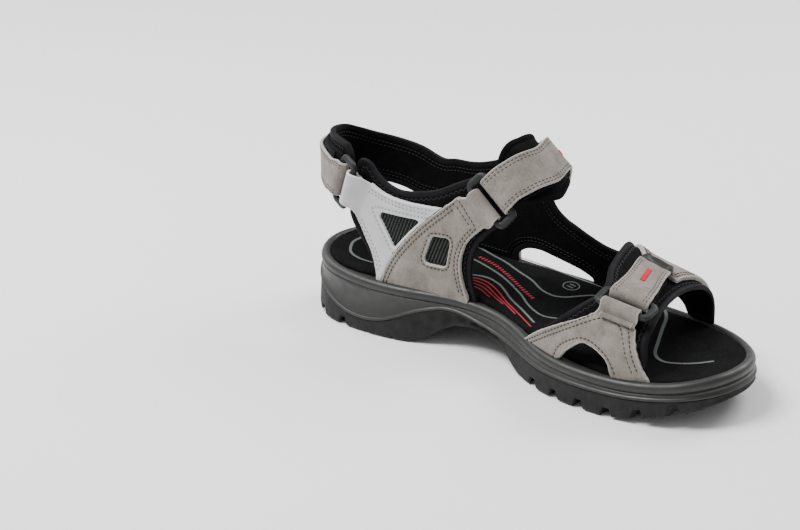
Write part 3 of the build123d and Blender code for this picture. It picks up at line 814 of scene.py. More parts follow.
def make_midsole(material):
    """Foam body: boundary bead, hollowed side, crease and rounded rim, ledge and recess."""
    room = SOLE_RIM_Z - FLARE_Z
    rows = [wall_row(FLARE_Z - 1.0, -5.0), wall_row(FLARE_Z - 1.0, -1.2)]
    rows += [wall_row(FLARE_Z + up, out) for up, out in FOOT_BEAD]
    hollow = np.clip((room - 8) / 8, 0, 1)
    for share in np.linspace(0.08, 0.94, 10):
        up = SIDE_FOOT + (room - SIDE_FOOT - SIDE_TOP) * share
        depth = -0.3 - 0.9 * hollow * math.sin(math.pi * share)
        rows.append(wall_row(FLARE_Z + np.maximum(up, SIDE_FOOT + 0.05 * share), depth))
    rows += [wall_row(SOLE_RIM_Z - down, out) for down, out in RIM_ROUND]
    ledge = wall_row(SOLE_RIM_Z - 0.95, -4.3)
    rim = along(RIM_LINE, FOOTBED_LOOP[:, 0])
    brink, recess, floor = (
        np.column_stack([FOOTBED_LOOP + FOOTBED_OUT * out, rim - down])
        for out, down in ((0.5, 1.5), (0.25, 2.4), (0.25, RECESS + 0.1)))
    rows += [ledge, ledge * 0.5 + brink * 0.5, brink, recess, floor]
    return lofted("midsole_body", rows, material)


def tread_height(x, y):
    """Underside of the outsole: lugs, cross grooves, the middle channel and fine sipes."""
    ground = np.maximum(along(UNDERSIDE, x), 0)
    depth = np.zeros(np.broadcast(x, y).shape)
    for groove in TREAD_GROOVES:
        gap = np.abs(x - groove)
        depth = np.maximum(depth, TREAD_DEPTH * np.clip((3.2 - gap) / 1.5, 0, 1))
    on_channel = 3.0 * np.clip((3.0 - np.abs(y + 2)) / 1.2, 0, 1)
    depth = np.maximum(depth, np.where((x > 26) & (x < 116), on_channel, 0))
    flat = np.clip((1.5 - ground) / 1.5, 0, 1)
    sipe = 0.9 * np.clip((0.9 - np.abs((x + 0.35 * np.abs(y + 2)) % 16 - 2.5)) / 0.5, 0, 1)
    return ground + np.maximum(depth, sipe * flat)


def waist_flutes(x, z_share):
    """How far the outsole's side is drawn in at the waist, in shallow upright flutes."""
    window = np.clip(1 - ((x + 20) / 34) ** 2, 0, 1)
    wave = 0.5 + 0.5 * np.cos(2 * math.pi * x / 7.5)
    rise = math.sin(math.pi * min(max(z_share, 0), 1)) ** 0.6 if 0 < z_share < 1 else 0
    return -(1.7 + 1.3 * wave) * window * rise


def make_outsole(material):
    """Rubber cup with lugs, notched sides and a fluted waist."""
    x, y = SOLE_LOOP.T
    ground = tread_height(x, y)
    room = np.maximum(FLARE_Z - 0.35 - ground, 2.2)
    top = ground + room
    rows = [wall_row(np.minimum(top - 0.4, SOLE_RIM_Z - RECESS - 0.6), -5.2),
            wall_row(top - 0.3, -1.5), wall_row(top, -0.5), wall_row(top - 0.15, -0.1)]
    for share in np.linspace(0.94, 0.3, 9):
        rows.append(wall_row(ground + room * share, waist_flutes(x, share)))
    for up, out in ((1.7, 0.0), (1.0, -0.1), (0.5, -0.3), (0.18, -0.65), (0.0, -1.2)):
        height = np.minimum(ground + up, top - 0.4)
        rows.append(wall_row(height, out + waist_flutes(x, min(up / 6, 0.3))))
    sides = lofted("outsole_rubber_cup", rows, material, cap_last=False)

    half, across = len(x) // 2, 96
    edge = rows[-1]
    left, right = edge[:half + 1], edge[(len(x) - np.arange(half + 1)) % len(x)]
    t = np.linspace(0, 1, across + 1)[:, None]
    points, faces = [], []
    for k in range(half + 1):
        line = left[k] * (1 - t) + right[k] * t
        line[1:-1, 2] = tread_height(line[1:-1, 0], line[1:-1, 1])
        points.append(line)
    for k in range(half):
        for j in range(across):
            a, b = k * (across + 1) + j, (k + 1) * (across + 1) + j
            faces.append((a, a + 1, b + 1, b))
    floor = add_mesh("outsole_floor", np.concatenate(points), faces, material)
    work = bmesh.new()
    work.from_mesh(sides.data)
    work.from_mesh(floor.data)
    bmesh.ops.remove_doubles(work, verts=work.verts, dist=2e-6)
    bmesh.ops.recalc_face_normals(work, faces=work.faces)
    work.to_mesh(sides.data)
    work.free()
    sides.data.set_sharp_from_angle(angle=math.radians(35))
    bpy.data.objects.remove(floor)
    return sides


def make_cover(material):
    """Brushed top cover of the footbed with a roughly cut edge."""
    edge = closed_curve(FOOTBED_OUTLINE, 900)
    uneven = np.array([random.uniform(-0.22, 0.12) for _ in edge])
    edge = edge + loop_left(edge) * uneven[:, None]
    faces = (lambda d: 0.9 * (round_over(d, 1.6) - 1), level(0.2 - COVER_THICK - COVER_PROUD))
    return panel("footbed_top_cover", footbed_point, [edge], faces, material, pitch=2.6,
                 rows=(0.12, 0.35, 0.7, 1.2, 2.0, 3.6))


PRINT_THICK = 0.07


def print_lines(name, lines, material):
    """Flat printed lines on the footbed: each is a curve and its width."""
    made = []
    for number, (points, width) in enumerate(lines):
        line = smooth(points, 0.9)
        side = left_of(np.gradient(line, axis=0))
        across = np.linspace(-width / 2, width / 2, 5)
        plan = np.moveaxis(line[:, None] + side[:, None] * across[None, :, None], -1, 0)
        half = np.full(plan.shape[1:], PRINT_THICK / 2)
        made.append(shell(f"{name}_{number}", lifted(footbed_point, *plan, half + 0.02),
                          normals(footbed_point, *plan), half, material))
    return joined(name, made)


def joined(name, pieces):
    """Several meshes as one piece."""
    work = bmesh.new()
    for piece in pieces:
        work.from_mesh(piece.data)
    mesh = bpy.data.meshes.new(name)
    work.to_mesh(mesh)
    work.free()
    mesh.materials.append(pieces[0].data.materials[0])
    for piece in pieces:
        bpy.data.objects.remove(piece)
    whole = bpy.data.objects.new(name, mesh)
    bpy.context.scene.collection.objects.link(whole)
    return whole


GREY_LINES = [
    ([(-70, 36), (-60, 35), (-47, 34.5), (-30, 34), (-13, 33.5), (0, 34), (12, 36), (34, 40)],
     0.9),
    ([(-72, 34), (-60, 32), (-47, 28), (-36, 25), (-25, 21), (-12, 17), (-2, 12), (6, 11),
      (11, 14), (15, 20), (20, 27), (30, 33)], 1.2),
    ([(-66, 20), (-52, 18), (-41, 15), (-28, 11), (-17, 6), (-6, 0), (4, -7), (13, -11),
      (18, -11), (24, -7), (34, 2)], 1.2),
    ([(-48, -2), (-41, 1), (-35, 3.5), (-29, 4), (-20, 1), (-5, -9), (7, -15), (19, -21)], 1.3),
    ([(-118, 5), (-117, -5), (-113, -12), (-107, -18), (-99, -20.5), (-90, -19.5)], 1.5),
    ([(47, 35), (53, 40), (60, 33), (68, 18), (76, 3), (83, -9), (91, -14.5), (99, -13),
      (106, -9), (112, -3)], 1.7),
]
RED_LINES = [
    ([(-44, -5), (-38, -2), (-33, 0), (-26, -1), (-16, -6), (-4, -14), (6, -19), (21, -26)], 0.8),
    ([(-43, -8), (-36, -4.5), (-32, -3.5), (-25, -4.5), (-15, -10), (-4, -16), (8, -22)], 0.8),
    ([(-41, -11), (-34, -8), (-30, -7), (-24, -8), (-16, -12), (-10, -15), (-3, -18)], 0.8),
    ([(-38, -13.5), (-31, -11), (-28, -10.5), (-23, -11.5), (-17, -14.5), (-13, -16.5)], 0.8),
    ([(-35, -16), (-30, -14), (-27, -14)], 0.8),
]
SIZE_RING = ((6, 26), 4.2)      # centre and radius of the plain printed ring
DASHED_LINE = [(-52, 22.5), (-37, 18.5), (-23, 12.5), (-10, 6), (1, 1)]


def make_prints(grey, red):
    """Grey flowing lines, a ring with two bars, red arches and a dashed red line."""
    (cx, cy), radius = SIZE_RING
    around = [(cx + radius * math.cos(a), cy + radius * math.sin(a))
              for a in np.linspace(0, 2 * math.pi, 25)]
    bars = [([(cx - 1.9, cy + k), (cx + 1.9, cy + k)], 0.8) for k in (-1.2, 1.2)]
    whole = print_lines("footbed_print_grey", GREY_LINES + [(around, 0.6)] + bars, grey)
    dashes = smooth(DASHED_LINE, 1.3)
    blocks = [([dashes[k], dashes[k + 1]], 2.0) for k in range(0, len(dashes) - 1, 2)]
    return whole, print_lines("footbed_print_red", RED_LINES + blocks, red)


# ------------------------------------------------------------------ materials


class Paint:
    """Node tree of one material. Patterns are sized in millimetres on the object."""

    def __init__(self, name, roughness, specular=0.5, sheen=0.0):
        self.material = bpy.data.materials.new(name)
        self.material.use_nodes = True
        self.nodes = self.material.node_tree.nodes
        self.face = self.nodes["Principled BSDF"]
        for slot, value in (("Roughness", roughness), ("Specular IOR Level", specular),
                            ("Sheen Weight", sheen), ("Sheen Roughness", 0.45)):
            self.face.inputs[slot].default_value = value
        self.place = self.nodes.new("ShaderNodeTexCoord").outputs["Object"]
        self.relief = None

    def put(self, slot, value):
        """Gives an input a value, or links it to the output of another node."""
        if isinstance(value, bpy.types.NodeSocket):
            self.material.node_tree.links.new(value, slot)
        else:
            slot.default_value = value

    def node(self, kind, output, inputs, **settings):
        """Output of a new node with its settings and inputs."""
        node = self.nodes.new(f"ShaderNode{kind}")
        for name, value in settings.items():
            setattr(node, name, value)
        for slot, value in inputs.items():
            self.put(node.inputs[slot], value)
        return node.outputs[output]

    def mapped(self, stretch, turn):
        """Object coordinates in millimetres, stretched and turned."""
        return self.node("Mapping", "Vector", {
            "Scale": [k / MM for k in stretch], "Rotation": [math.radians(a) for a in turn],
            "Vector": self.place})

    def noise(self, size, detail=2.0, stretch=(1, 1, 1), turn=(0, 0, 0)):
        """Cloudy value from 0 to 1 with features of about a size."""
        return self.node("TexNoise", "Fac", {"Scale": 1 / size, "Detail": detail,
                                             "Vector": self.mapped(stretch, turn)})

    def cells(self, size, stretch=(1, 1, 1), turn=(0, 0, 0)):
        """Distance to the nearest of scattered points that are about a size apart."""
        return self.node("TexVoronoi", "Distance", {"Scale": 1 / size,
                                                    "Vector": self.mapped(stretch, turn)})

    def bands(self, pitch, turn, waver):
        """Even bands with a pitch, across the turned X direction."""
        return self.node("TexWave", "Fac", {"Scale": 0.314 / pitch, "Distortion": waver,
                                            "Detail": 1, "Vector": self.mapped((1, 1, 1), turn)})

    def stored(self, name):
        """Value kept on the points of a mesh."""
        return self.node("Attribute", "Fac", {}, attribute_name=name)

    def rim(self, near, far):
        """1 at the cut edge of a panel, falling to 0 between two distances from it."""
        return self.ranged(self.stored("rim"), near, far, 1, 0)

    def ranged(self, value, low, high, to_low=0.0, to_high=1.0):
        """A value carried from one range to another, held at its ends."""
        return self.node("MapRange", "Result", {"Value": value, "From Min": low,
                                                "From Max": high, "To Min": to_low,
                                                "To Max": to_high})

    def combined(self, operation, a, b):
        """Sum, product or other operation of two values."""
        return self.node("Math", 0, {0: a, 1: b}, operation=operation)

    def blend(self, share, a, b):
        """Colour between two, by a share; each is a colour or the result of a blend."""
        a, b = ((*tone, 1) if isinstance(tone, tuple) else tone for tone in (a, b))
        return self.node("Mix", 2, {"Factor": share, 6: a, 7: b}, data_type="RGBA")

    def bump(self, value, height):
        """Adds relief of a height in millimetres."""
        below = {} if self.relief is None else {"Normal": self.relief}
        self.relief = self.node("Bump", "Normal", {"Distance": height * MM, "Height": value,
                                                   **below})

    def done(self, colour, roughness=None):
        """Joins the colour, the relief and a varying roughness to the shader."""
        for slot, value in (("Base Color", colour), ("Normal", self.relief),
                            ("Roughness", roughness)):
            if value is not None:
                self.put(self.face.inputs[slot], value)
        return self.material


def nubuck_paint():
    """Warm grey brushed leather: cloudy nap, fine fibres, pale frayed cut edges."""
    paint = Paint("nubuck_grey", 0.92, specular=0.15, sheen=0.1)
    cloud = paint.ranged(paint.noise(9, 4), 0.32, 0.68)
    fibre = paint.noise(0.45, 3, stretch=(1, 1, 0.55), turn=(0, 25, 0))
    fleck = paint.ranged(paint.noise(0.9, 3), 0.35, 0.7)
    colour = paint.blend(cloud, (0.138, 0.120, 0.106), (0.236, 0.211, 0.188))
    colour = paint.blend(paint.combined("MULTIPLY", fleck, 0.45), colour, (0.275, 0.248, 0.224))
    scuff = paint.ranged(paint.noise(3.2, 5, stretch=(1, 1, 0.6)), 0.56, 0.7, 0, 0.4)
    colour = paint.blend(scuff, colour, (0.115, 0.098, 0.086))
    ragged = paint.combined("ADD", paint.rim(0.1, 1.15), paint.ranged(fibre, 0.3, 0.7, -0.5, 0.3))
    fringe = paint.ranged(ragged, 0.3, 0.9)
    colour = paint.blend(fringe, colour, (0.42, 0.39, 0.36))
    paint.bump(fleck, 0.06)
    paint.bump(fibre, 0.1)
    return paint.done(colour)


def light_leather_paint():
    """Pale smooth leather with a fine pebble and slightly worn edges."""
    paint = Paint("leather_light", 0.62, specular=0.4)
    cloud = paint.ranged(paint.noise(11, 3), 0.3, 0.7)
    pebble = paint.cells(0.55)
    colour = paint.blend(cloud, (0.44, 0.44, 0.455), (0.53, 0.53, 0.545))
    colour = paint.blend(paint.ranged(pebble, 0.05, 0.75, 0.0, 0.3), colour, (0.4, 0.4, 0.41))
    colour = paint.blend(paint.rim(0.1, 0.7), colour, (0.66, 0.66, 0.66))
    paint.bump(paint.noise(2.5, 3), 0.08)
    paint.bump(pebble, 0.05)
    return paint.done(colour)


def lining_paint():
    """Black knitted lining with a smoother, dark purplish band bound over its edge."""
    paint = Paint("lining", 0.95, specular=0.1)
    weave = paint.cells(0.62, stretch=(1, 1, 1.5), turn=(0, 35, 0))
    cloud = paint.ranged(paint.noise(6, 3), 0.35, 0.7)
    knit = paint.blend(cloud, (0.0022, 0.0022, 0.0025), (0.0052, 0.005, 0.0058))
    knit = paint.blend(paint.ranged(weave, 0.1, 0.8, 0, 0.6), knit, (0.0008, 0.0008, 0.001))
    band = paint.rim(3.0, 3.2)
    bound = paint.blend(cloud, (0.0045, 0.0037, 0.0048), (0.0085, 0.007, 0.0088))
    paint.bump(paint.combined("MULTIPLY", weave, paint.ranged(band, 0, 1, 1, 0.12)), 0.12)
    paint.bump(paint.noise(1.6, 2), 0.05)
    rough = paint.ranged(band, 0, 1, 0.95, 0.65)
    return paint.done(paint.blend(band, knit, bound), rough)


def padding_paint():
    """Black padded knit of the tongue under the instep strap."""
    paint = Paint("padding", 0.95, specular=0.1)
    weave = paint.cells(0.7, stretch=(1, 1, 1.4))
    cloud = paint.ranged(paint.noise(7, 3), 0.35, 0.7)
    knit = paint.blend(cloud, (0.0022, 0.0022, 0.0027), (0.0055, 0.0052, 0.006))
    knit = paint.blend(paint.ranged(weave, 0.1, 0.8, 0, 0.5), knit, (0.001, 0.001, 0.0012))
    paint.bump(weave, 0.12)
    return paint.done(knit)


def webbing_paint():
    """Close woven black strap."""
    paint = Paint("webbing", 0.9, specular=0.12)
    ribs = paint.bands(1.1, turn=(0, 50, 20), waver=0.8)
    colour = paint.blend(ribs, (0.002, 0.002, 0.0023), (0.008, 0.0077, 0.0086))
    paint.bump(ribs, 0.1)
    paint.bump(paint.noise(0.5, 2), 0.08)
    return paint.done(colour)


def mesh_paint():
    """Black-green mesh: light yarn on ribs, dark pores between."""
    paint = Paint("mesh", 0.85, specular=0.2, sheen=0.03)
    pores = paint.cells(0.8, stretch=(1, 1, 1.25), turn=(0, 30, 0))
    ribs = paint.combined("MULTIPLY", paint.ranged(paint.stored("relief"), -0.05, 0.2),
                          paint.ranged(pores, 0.9, 0.2, 0.35, 1))
    colour = paint.blend(ribs, (0.002, 0.0025, 0.002), (0.052, 0.060, 0.053))
    paint.bump(pores, 0.22)
    return paint.done(colour)


def tape_paint(name, low, high, size, height):
    """Loop or hook tape: scattered stubs on a dark ground."""
    paint = Paint(name, 0.95, specular=0.15, sheen=0.05)
    stubs = paint.cells(size)
    colour = paint.blend(paint.ranged(stubs, 0.15, 0.6), high, low)
    paint.bump(paint.ranged(stubs, 0.1, 0.6, 1, 0), height)
    return paint.done(colour)


def moulded_paint(name, low, high, roughness, cloud=6.0, grain=0.35, height=0.03, specular=0.5):
    """Moulded plastic, foam or rubber: two close tones, fine grain, uneven gloss."""
    paint = Paint(name, roughness, specular=specular)
    tone = paint.ranged(paint.noise(cloud, 4), 0.3, 0.7)
    colour = paint.blend(tone, low, high)
    paint.bump(paint.noise(grain, 3), height)
    paint.bump(paint.noise(cloud * 0.6, 2), height * 2.5)
    rough = paint.ranged(paint.noise(cloud * 0.4, 3), 0.3, 0.7, roughness - 0.06, roughness + 0.1)
    return paint.done(colour, rough)


def cover_paint():
    """Brushed black microfibre with a short directional nap and scattered lint."""
    paint = Paint("footbed_cover", 0.97, specular=0.06)
    nap = paint.noise(0.6, 4, stretch=(0.45, 1, 1), turn=(0, 0, 20))
    cloud = paint.ranged(paint.noise(12, 4), 0.3, 0.7)
    colour = paint.blend(cloud, (0.0028, 0.0028, 0.003), (0.0062, 0.0062, 0.0066))
    colour = paint.blend(paint.ranged(nap, 0.5, 0.8, 0, 0.7), colour, (0.017, 0.017, 0.018))
    paint.bump(nap, 0.16)
    paint.bump(paint.noise(2.4, 3), 0.12)
    return paint.done(colour)


def thread_paint(name, low, high):
    """Twisted sewing thread."""
    paint = Paint(name, 0.6, specular=0.3)
    twist = paint.noise(0.25, 2)
    colour = paint.blend(twist, low, high)
    paint.bump(twist, 0.03)
    return paint.done(colour)


def make_paints():
    """Every material by name."""
    return {
        "nubuck": nubuck_paint(),
        "light": light_leather_paint(),
        "lining": lining_paint(),
        "padding": padding_paint(),
        "webbing": webbing_paint(),
        "mesh": mesh_paint(),
        "loop": tape_paint("loop_tape", (0.004, 0.004, 0.0045), (0.016, 0.016, 0.018), 0.5, 0.15),
        "hook": tape_paint("hook_tape", (0.005, 0.005, 0.005), (0.025, 0.025, 0.025), 0.8, 0.25),
        "ring": moulded_paint("ring_plastic", (0.008, 0.010, 0.0094), (0.014, 0.017, 0.016), 0.5,
                              specular=0.3),
        "tab": moulded_paint("tab_plastic", (0.006, 0.0073, 0.007), (0.010, 0.012, 0.0116), 0.5,
                             specular=0.3),
        "red": moulded_paint("mark_red", (0.40, 0.008, 0.02), (0.48, 0.014, 0.028), 0.6,
                             specular=0.2),
        "midsole": moulded_paint("midsole_foam", (0.0095, 0.0101, 0.0088), (0.0165, 0.0174, 0.0154),
                                 0.46, cloud=14, grain=0.5, height=0.035),
        "outsole": moulded_paint("outsole_rubber", (0.005, 0.005, 0.005), (0.011, 0.0112, 0.0106),
                                 0.72, cloud=8, grain=0.45, height=0.06, specular=0.35),
        "cover": cover_paint(),
        "print_grey": moulded_paint("print_grey", (0.075, 0.09, 0.083), (0.12, 0.138, 0.13), 0.7,
                                    cloud=1.2, grain=0.4, height=0.04),
        "print_red": moulded_paint("print_red", (0.26, 0.008, 0.016), (0.42, 0.014, 0.025), 0.8,
                                   cloud=1.2, grain=0.4, height=0.04),
        "foam": moulded_paint("footbed_foam", (0.04, 0.04, 0.04), (0.06, 0.06, 0.06), 0.8,
                              grain=0.6, height=0.1),
        "board": moulded_paint("board", (0.3, 0.24, 0.16), (0.4, 0.32, 0.23), 0.8, cloud=1.5,
                               grain=0.5, height=0.06),
        "shank": moulded_paint("shank_plate", (0.04, 0.04, 0.04), (0.06, 0.06, 0.06), 0.5),
        "thread_taupe": thread_paint("thread_taupe", (0.030, 0.025, 0.022), (0.055, 0.046, 0.041)),
        "thread_grey": thread_paint("thread_grey", (0.19, 0.19, 0.20), (0.30, 0.30, 0.31)),
        "thread_dark": thread_paint("thread_dark", (0.009, 0.0075, 0.0095), (0.022, 0.018, 0.023)),
    }


# ------------------------------------------------------------------ the upper

QUARTER_REAR = [(-70, 26), (-67, 35), (-62, 44), (-53, 55), (-43, 65), (-32.5, 74), (-15.5, 87.5)]
QUARTER_FRONT = [(0.5, 74.5), (-3.5, 71), (-11.5, 65), (-18, 58.5), (-21, 52), (-22, 45),
                 (-21, 37), (-19, 30)]
QUARTER_WINDOW = [(-39, 58), (-27.5, 58.5), (-30.5, 43), (-44.5, 43)]
HEEL_PANEL_TOP = [(-86.5, 85.5), (-81.5, 81), (-74.5, 77.5), (-66, 74.5), (-53, 73)]
HEEL_PANEL_REAR = [(-96, 66.2), (-91.5, 62.5), (-86.5, 57), (-82, 49.5), (-77, 41), (-73, 30)]
HEEL_WINDOW = [(-73.5, 65), (-43, 65), (-61, 45.5)]
HEEL_SEAM = [(-70, 26), (-62, 44), (-43, 65), (-27.7, 89)]
MESH_PANEL = [(-79, 68), (-24, 66), (-26, 40), (-66, 40)]
LINING_TOP = [(-88.5, 87), (-85, 90), (-79, 89), (-74, 84), (-67, 80), (-59, 78), (-49, 79),
              (-38, 81.5), (-28.5, 86), (-16.5, 91.5)]
LINING_FRONT = [(-0.5, 78), (3.5, 74), (-4, 66.5), (-11.5, 59), (-15, 52), (-16.5, 44), (-16, 36),
                (-14.5, 30)]
LINING_REAR = [(-90, 64), (-95.5, 59.5), (-91, 51), (-84, 43.5), (-79, 36), (-75.5, 29)]
LATERAL_TOP = [(-84, 75), (-75, 76), (-65, 76.3), (-56, 78), (-44, 82),
               (-33, 86), (-23.5, 90)]
LATERAL_FRONT = [(-4.5, 75.5), (-7, 73), (-8.8, 70), (-9, 66.5), (-7, 62.5), (-2, 58), (5, 54.5),
                 (13, 50.5), (22, 47), (33, 45)]
LENS_TOP = [(12, 27), (6, 30), (-1, 32.3), (-11, 35), (-19, 36.6), (-27, 36), (-32, 33.5),
            (-34.5, 31)]
LATERAL_REAR = [(-84, 50), (-82, 45), (-78, 36), (-75, 28)]
COLLAR_TOP = [(-74, 95.5), (-60, 96.3), (-30, 95.8), (0, 93.7), (18, 90), (34, 86.5),
              (53, 83.3), (71, 80)]
COLLAR_BOTTOM = [(0, 64), (34, 59.5), (53, 56.5), (71, 52)]
VAMP_REAR = [(-89, 29), (-80, 32), (-66, 44), (-54, 54), (-42, 59.5), (-28, 58), (-10, 52),
             (5, 48.5), (20, 45), (35, 40.5), (52, 36), (70, 35.5), (86, 36)]
VAMP_FRONT = [(-89, 97), (-77, 97), (-65, 95), (-51, 93.5), (-29, 90), (0, 87), (22, 86),
              (45, 86), (65, 85), (86, 84)]
VAMP_SIDE_REAR = [(24, 19.5), (33, 26), (49, 34.5), (60, 39), (66, 42), (67, 44.5)]
VAMP_SIDE_FRONT = [(87, 41.5), (88, 38.5), (90.5, 34), (95, 26), (99, 19.5)]
OUTER_VAMP_REAR = [(22, 60), (29, 56), (38, 47.5), (47, 38.5), (56, 32), (91, 31.3)]
OUTER_VAMP_FRONT = [(22, 80), (35, 79.5), (60, 80), (91, 79)]

# Millimetres per unit of each surface coordinate
SIDE_METRIC = (1, 1)
ARCH_METRIC = (1, 0.95)
VAMP_METRIC = (1, 0.68)
HEEL_METRIC = (0.66, 1)
UPPER_BOTTOM = 3.2          # how far the visible upper reaches under the rim
WINDOW_CORNER = 2.5
LINING_SEAM = 1.95          # lift of the stitches in the linings
# Material of each leather, then lift, thread, gap and radius of its stitches
LEATHERS = {"leather_light": ("light", 4.52, "thread_grey", 1.2, 0.24),
            "nubuck_grey": ("nubuck", 4.55, "thread_taupe", 0.8, 0.25)}
OVERLOCK_IN, INNER_ROW_IN = 4.3, 6.2    # seams of the linings, in from the edge
SEWN_TURN = 84              # the vamp's seams end at this turn, beside the sole


def arched(line, side):
    """Side view line as (x, turn) on one side of the arch."""
    x, z = np.asarray(line, float).T
    width = half_width(x, z, side)
    return np.stack([x, side * np.degrees(np.arctan2(width, z - FORM_BASE))], 1)


def even_loop(points, metric, step=0.8):
    """Closed outline cut into even steps of the real surface."""
    return resample(points * np.array(metric, float), step) / np.array(metric, float)


def sole_edge(x):
    """Point at x where the upper goes down beside the footbed."""
    return (x, float(along(RIM_LINE, x)) - UPPER_BOTTOM)


def softened(points):
    """Outline with its sharp corners rounded by averaging close neighbours."""
    for _ in range(3):
        points = (np.roll(points, 1, axis=0) + 2 * points + np.roll(points, -1, axis=0)) / 4
    return points


def ragged(points, depth=0.16):
    """Outline of a hand cut edge, a little uneven."""
    jitter = np.array([random.uniform(-depth, depth) for _ in points])
    jitter = (np.roll(jitter, 1) + jitter) / 1.4
    return points + loop_left(points) * jitter[:, None]


def leather_edge():
    """Lifts of a leather panel, its edge drawn down on the lining."""
    low, high = LEATHER
    return (lambda d: high - 0.45 * (1 - np.clip(d / 0.8, 0, 1)) ** 2,
            lambda d: low - 0.6 * (1 - np.clip(d / 5, 0, 1)))


def quarter_loop():
    """Side view of the grey quarter."""
    return run_loop(QUARTER_REAR, QUARTER_FRONT, [sole_edge(-19), sole_edge(QUARTER_REAR[0][0])])


def heel_panel_loop():
    """Side view of the light heel panel, cut along the quarter's rear edge."""
    rear = [(x - 0.25, z + 0.25) for x, z in QUARTER_REAR]
    meet = smooth(rear[:6] + [(-29, 76.5)])
    meet = meet[meet[:, 1] < 73.0]
    top = HEEL_PANEL_TOP + [(float(meet[-1][0]), float(meet[-1][1]))]
    foot_front, foot_rear = sole_edge(rear[0][0]), sole_edge(HEEL_PANEL_REAR[-1][0])
    return np.concatenate([loop(top), meet[::-1][:-1], loop([tuple(meet[0]), foot_front],
                           [foot_front, foot_rear], [foot_rear, HEEL_PANEL_REAR[-1]],
                           HEEL_PANEL_REAR[::-1], [HEEL_PANEL_REAR[0], top[0]])])


def heel_window_loop():
    """Three-cornered window, shut by the quarter's rear edge."""
    window = rounded(HEEL_WINDOW, WINDOW_CORNER)
    rear = smooth([(x - 1.6, z + 0.4) for x, z in QUARTER_REAR])
    limit = np.interp(window[:, 1], rear[:, 1], rear[:, 0])
    window[:, 0] = np.minimum(window[:, 0], limit)
    return resample(window, 0.7)


def lining_loop():
    """Side view of the inner lining."""
    return run_loop(LINING_TOP, LINING_FRONT, [sole_edge(-14.5), sole_edge(-75.5)],
                    LINING_REAR[::-1], [(-89.6, 78)])


def lateral_runs(grow):
    """Side view runs of the outer band: top, front, lens and rear."""
    top = [(x, z - 3 + grow) for x, z in LATERAL_TOP]
    front = [(x - 3 + grow, z - 3 + grow) for x, z in LATERAL_FRONT]
    lens = [(x, z + 3 - grow) for x, z in LENS_TOP]
    rear = [(x + 3 - grow, z) for x, z in LATERAL_REAR]
    return top, front, lens, rear


def lateral_loop():
    """Side view of the leather of the outer band."""
    top, front, lens, rear = lateral_runs(0)
    return run_loop(top, front, [sole_edge(front[-1][0]), sole_edge(lens[0][0])], lens,
                    [sole_edge(lens[-1][0]), sole_edge(rear[-1][0])], rear[::-1])


def split(points, seam, keep_front):
    """Part of a side view outline before or behind a seam line, closed along it."""
    seam = smooth(seam, 0.8)
    at = np.interp(points[:, 1], seam[:, 1], seam[:, 0])
    front = points[:, 0] > at
    if not keep_front:
        front = ~front
    edge = np.nonzero(front != np.roll(front, 1))[0]
    first = [k for k in edge if front[k]][0]
    kept = np.roll(points, -first, axis=0)[:front.sum()]
    low, high = sorted((kept[0][1], kept[-1][1]))
    inner = seam[(seam[:, 1] > low + 0.3) & (seam[:, 1] < high - 0.3)]
    inner = inner + [SEAM_GAP if keep_front else -SEAM_GAP, 0]
    if kept[-1][1] > kept[0][1]:
        inner = inner[::-1]
    return np.concatenate([kept, inner])


SEAM_GAP = 0.15         # each way from the seam of two leathers


def drawn(runs):
    """Stitch lines as even polylines."""
    return [smooth(run) for run in runs]


QUARTER_ROWS = [
    [(-68, 27.5), (-65.3, 35), (-60.5, 43.2), (-51.8, 53.8), (-42, 63.6), (-32.2, 71.8),
     (-24.5, 78.6)],
    [(-66, 27.5), (-63.3, 34.4), (-58.8, 42.2), (-50.3, 52.4), (-40.6, 62), (-31, 70.2),
     (-25.2, 75.2)],
    [(-24.5, 78.6), (-18.5, 72), (-12.8, 66.2)],
    [(-25.2, 75.2), (-20.5, 70.4), (-15.6, 65.6)],
    [(-12.8, 66.2), (-18.8, 59.3), (-22.2, 52.4), (-23.4, 45), (-22.5, 37), (-20.8, 29)],
    [(-15.6, 65.6), (-20.6, 60), (-24.2, 52.6), (-25.4, 45), (-24.4, 37), (-22.8, 29)],
]
HEEL_PANEL_ROWS = [
    [(-90.8, 81.4), (-85.3, 78.1), (-75.5, 75.2), (-65.6, 72.7), (-53, 71.2), (-38, 71)],
    [(-83, 75.6), (-75, 73.4), (-65.2, 71), (-53, 69.4), (-40, 69)],
    [(-97, 65), (-93, 63.4), (-85.5, 57.2), (-80.4, 49.8), (-75.4, 41.6), (-71.2, 31)],
    [(-90.5, 64.2), (-84, 58.6), (-78.7, 50.8), (-73.6, 42.4), (-69.6, 33)],
    [(-82, 77), (-85.2, 71), (-88.8, 62.6)],
    [(-84, 77.8), (-87.2, 71.4), (-90.6, 63.8)],
    [(-41.5, 66.8), (-52, 66.9), (-64, 67), (-73.5, 67), (-75.6, 66), (-75.3, 63.8),
     (-70, 55.5), (-64, 46), (-61, 43.2)],
]
VAMP_ROWS = [
    [(27.5, 20.6), (44, 30), (56, 36.4), (63, 39.6), (67.5, 41.6), (72, 42.3), (77, 42.2),
     (83, 40.2), (86.6, 36.4), (89.6, 31.2), (94.5, 22.4)],
    [(31, 20.6), (45.5, 28.6), (57, 34.8), (64, 38), (68.5, 39.8), (72, 40.4), (76, 40.2),
     (81.6, 38.2), (84.8, 34.8), (87.6, 30), (92.2, 21.6)],
    [(47.8, 18.5), (51, 24.6), (56.5, 29), (63, 31.9), (68.5, 32.2), (74, 30.6), (79.4, 27.4),
     (82.6, 23), (84.2, 18.5)],
]


def quarter_window_row():
    """Stitch line round the quarter's window."""
    edge = rounded(QUARTER_WINDOW, WINDOW_CORNER)
    line = beside(closed(edge), 1.7)
    if edge_distance(line[:1], [edge]).min() < 1 or inside(line[:1], [edge])[0]:
        line = beside(closed(edge), -1.7)
    return line


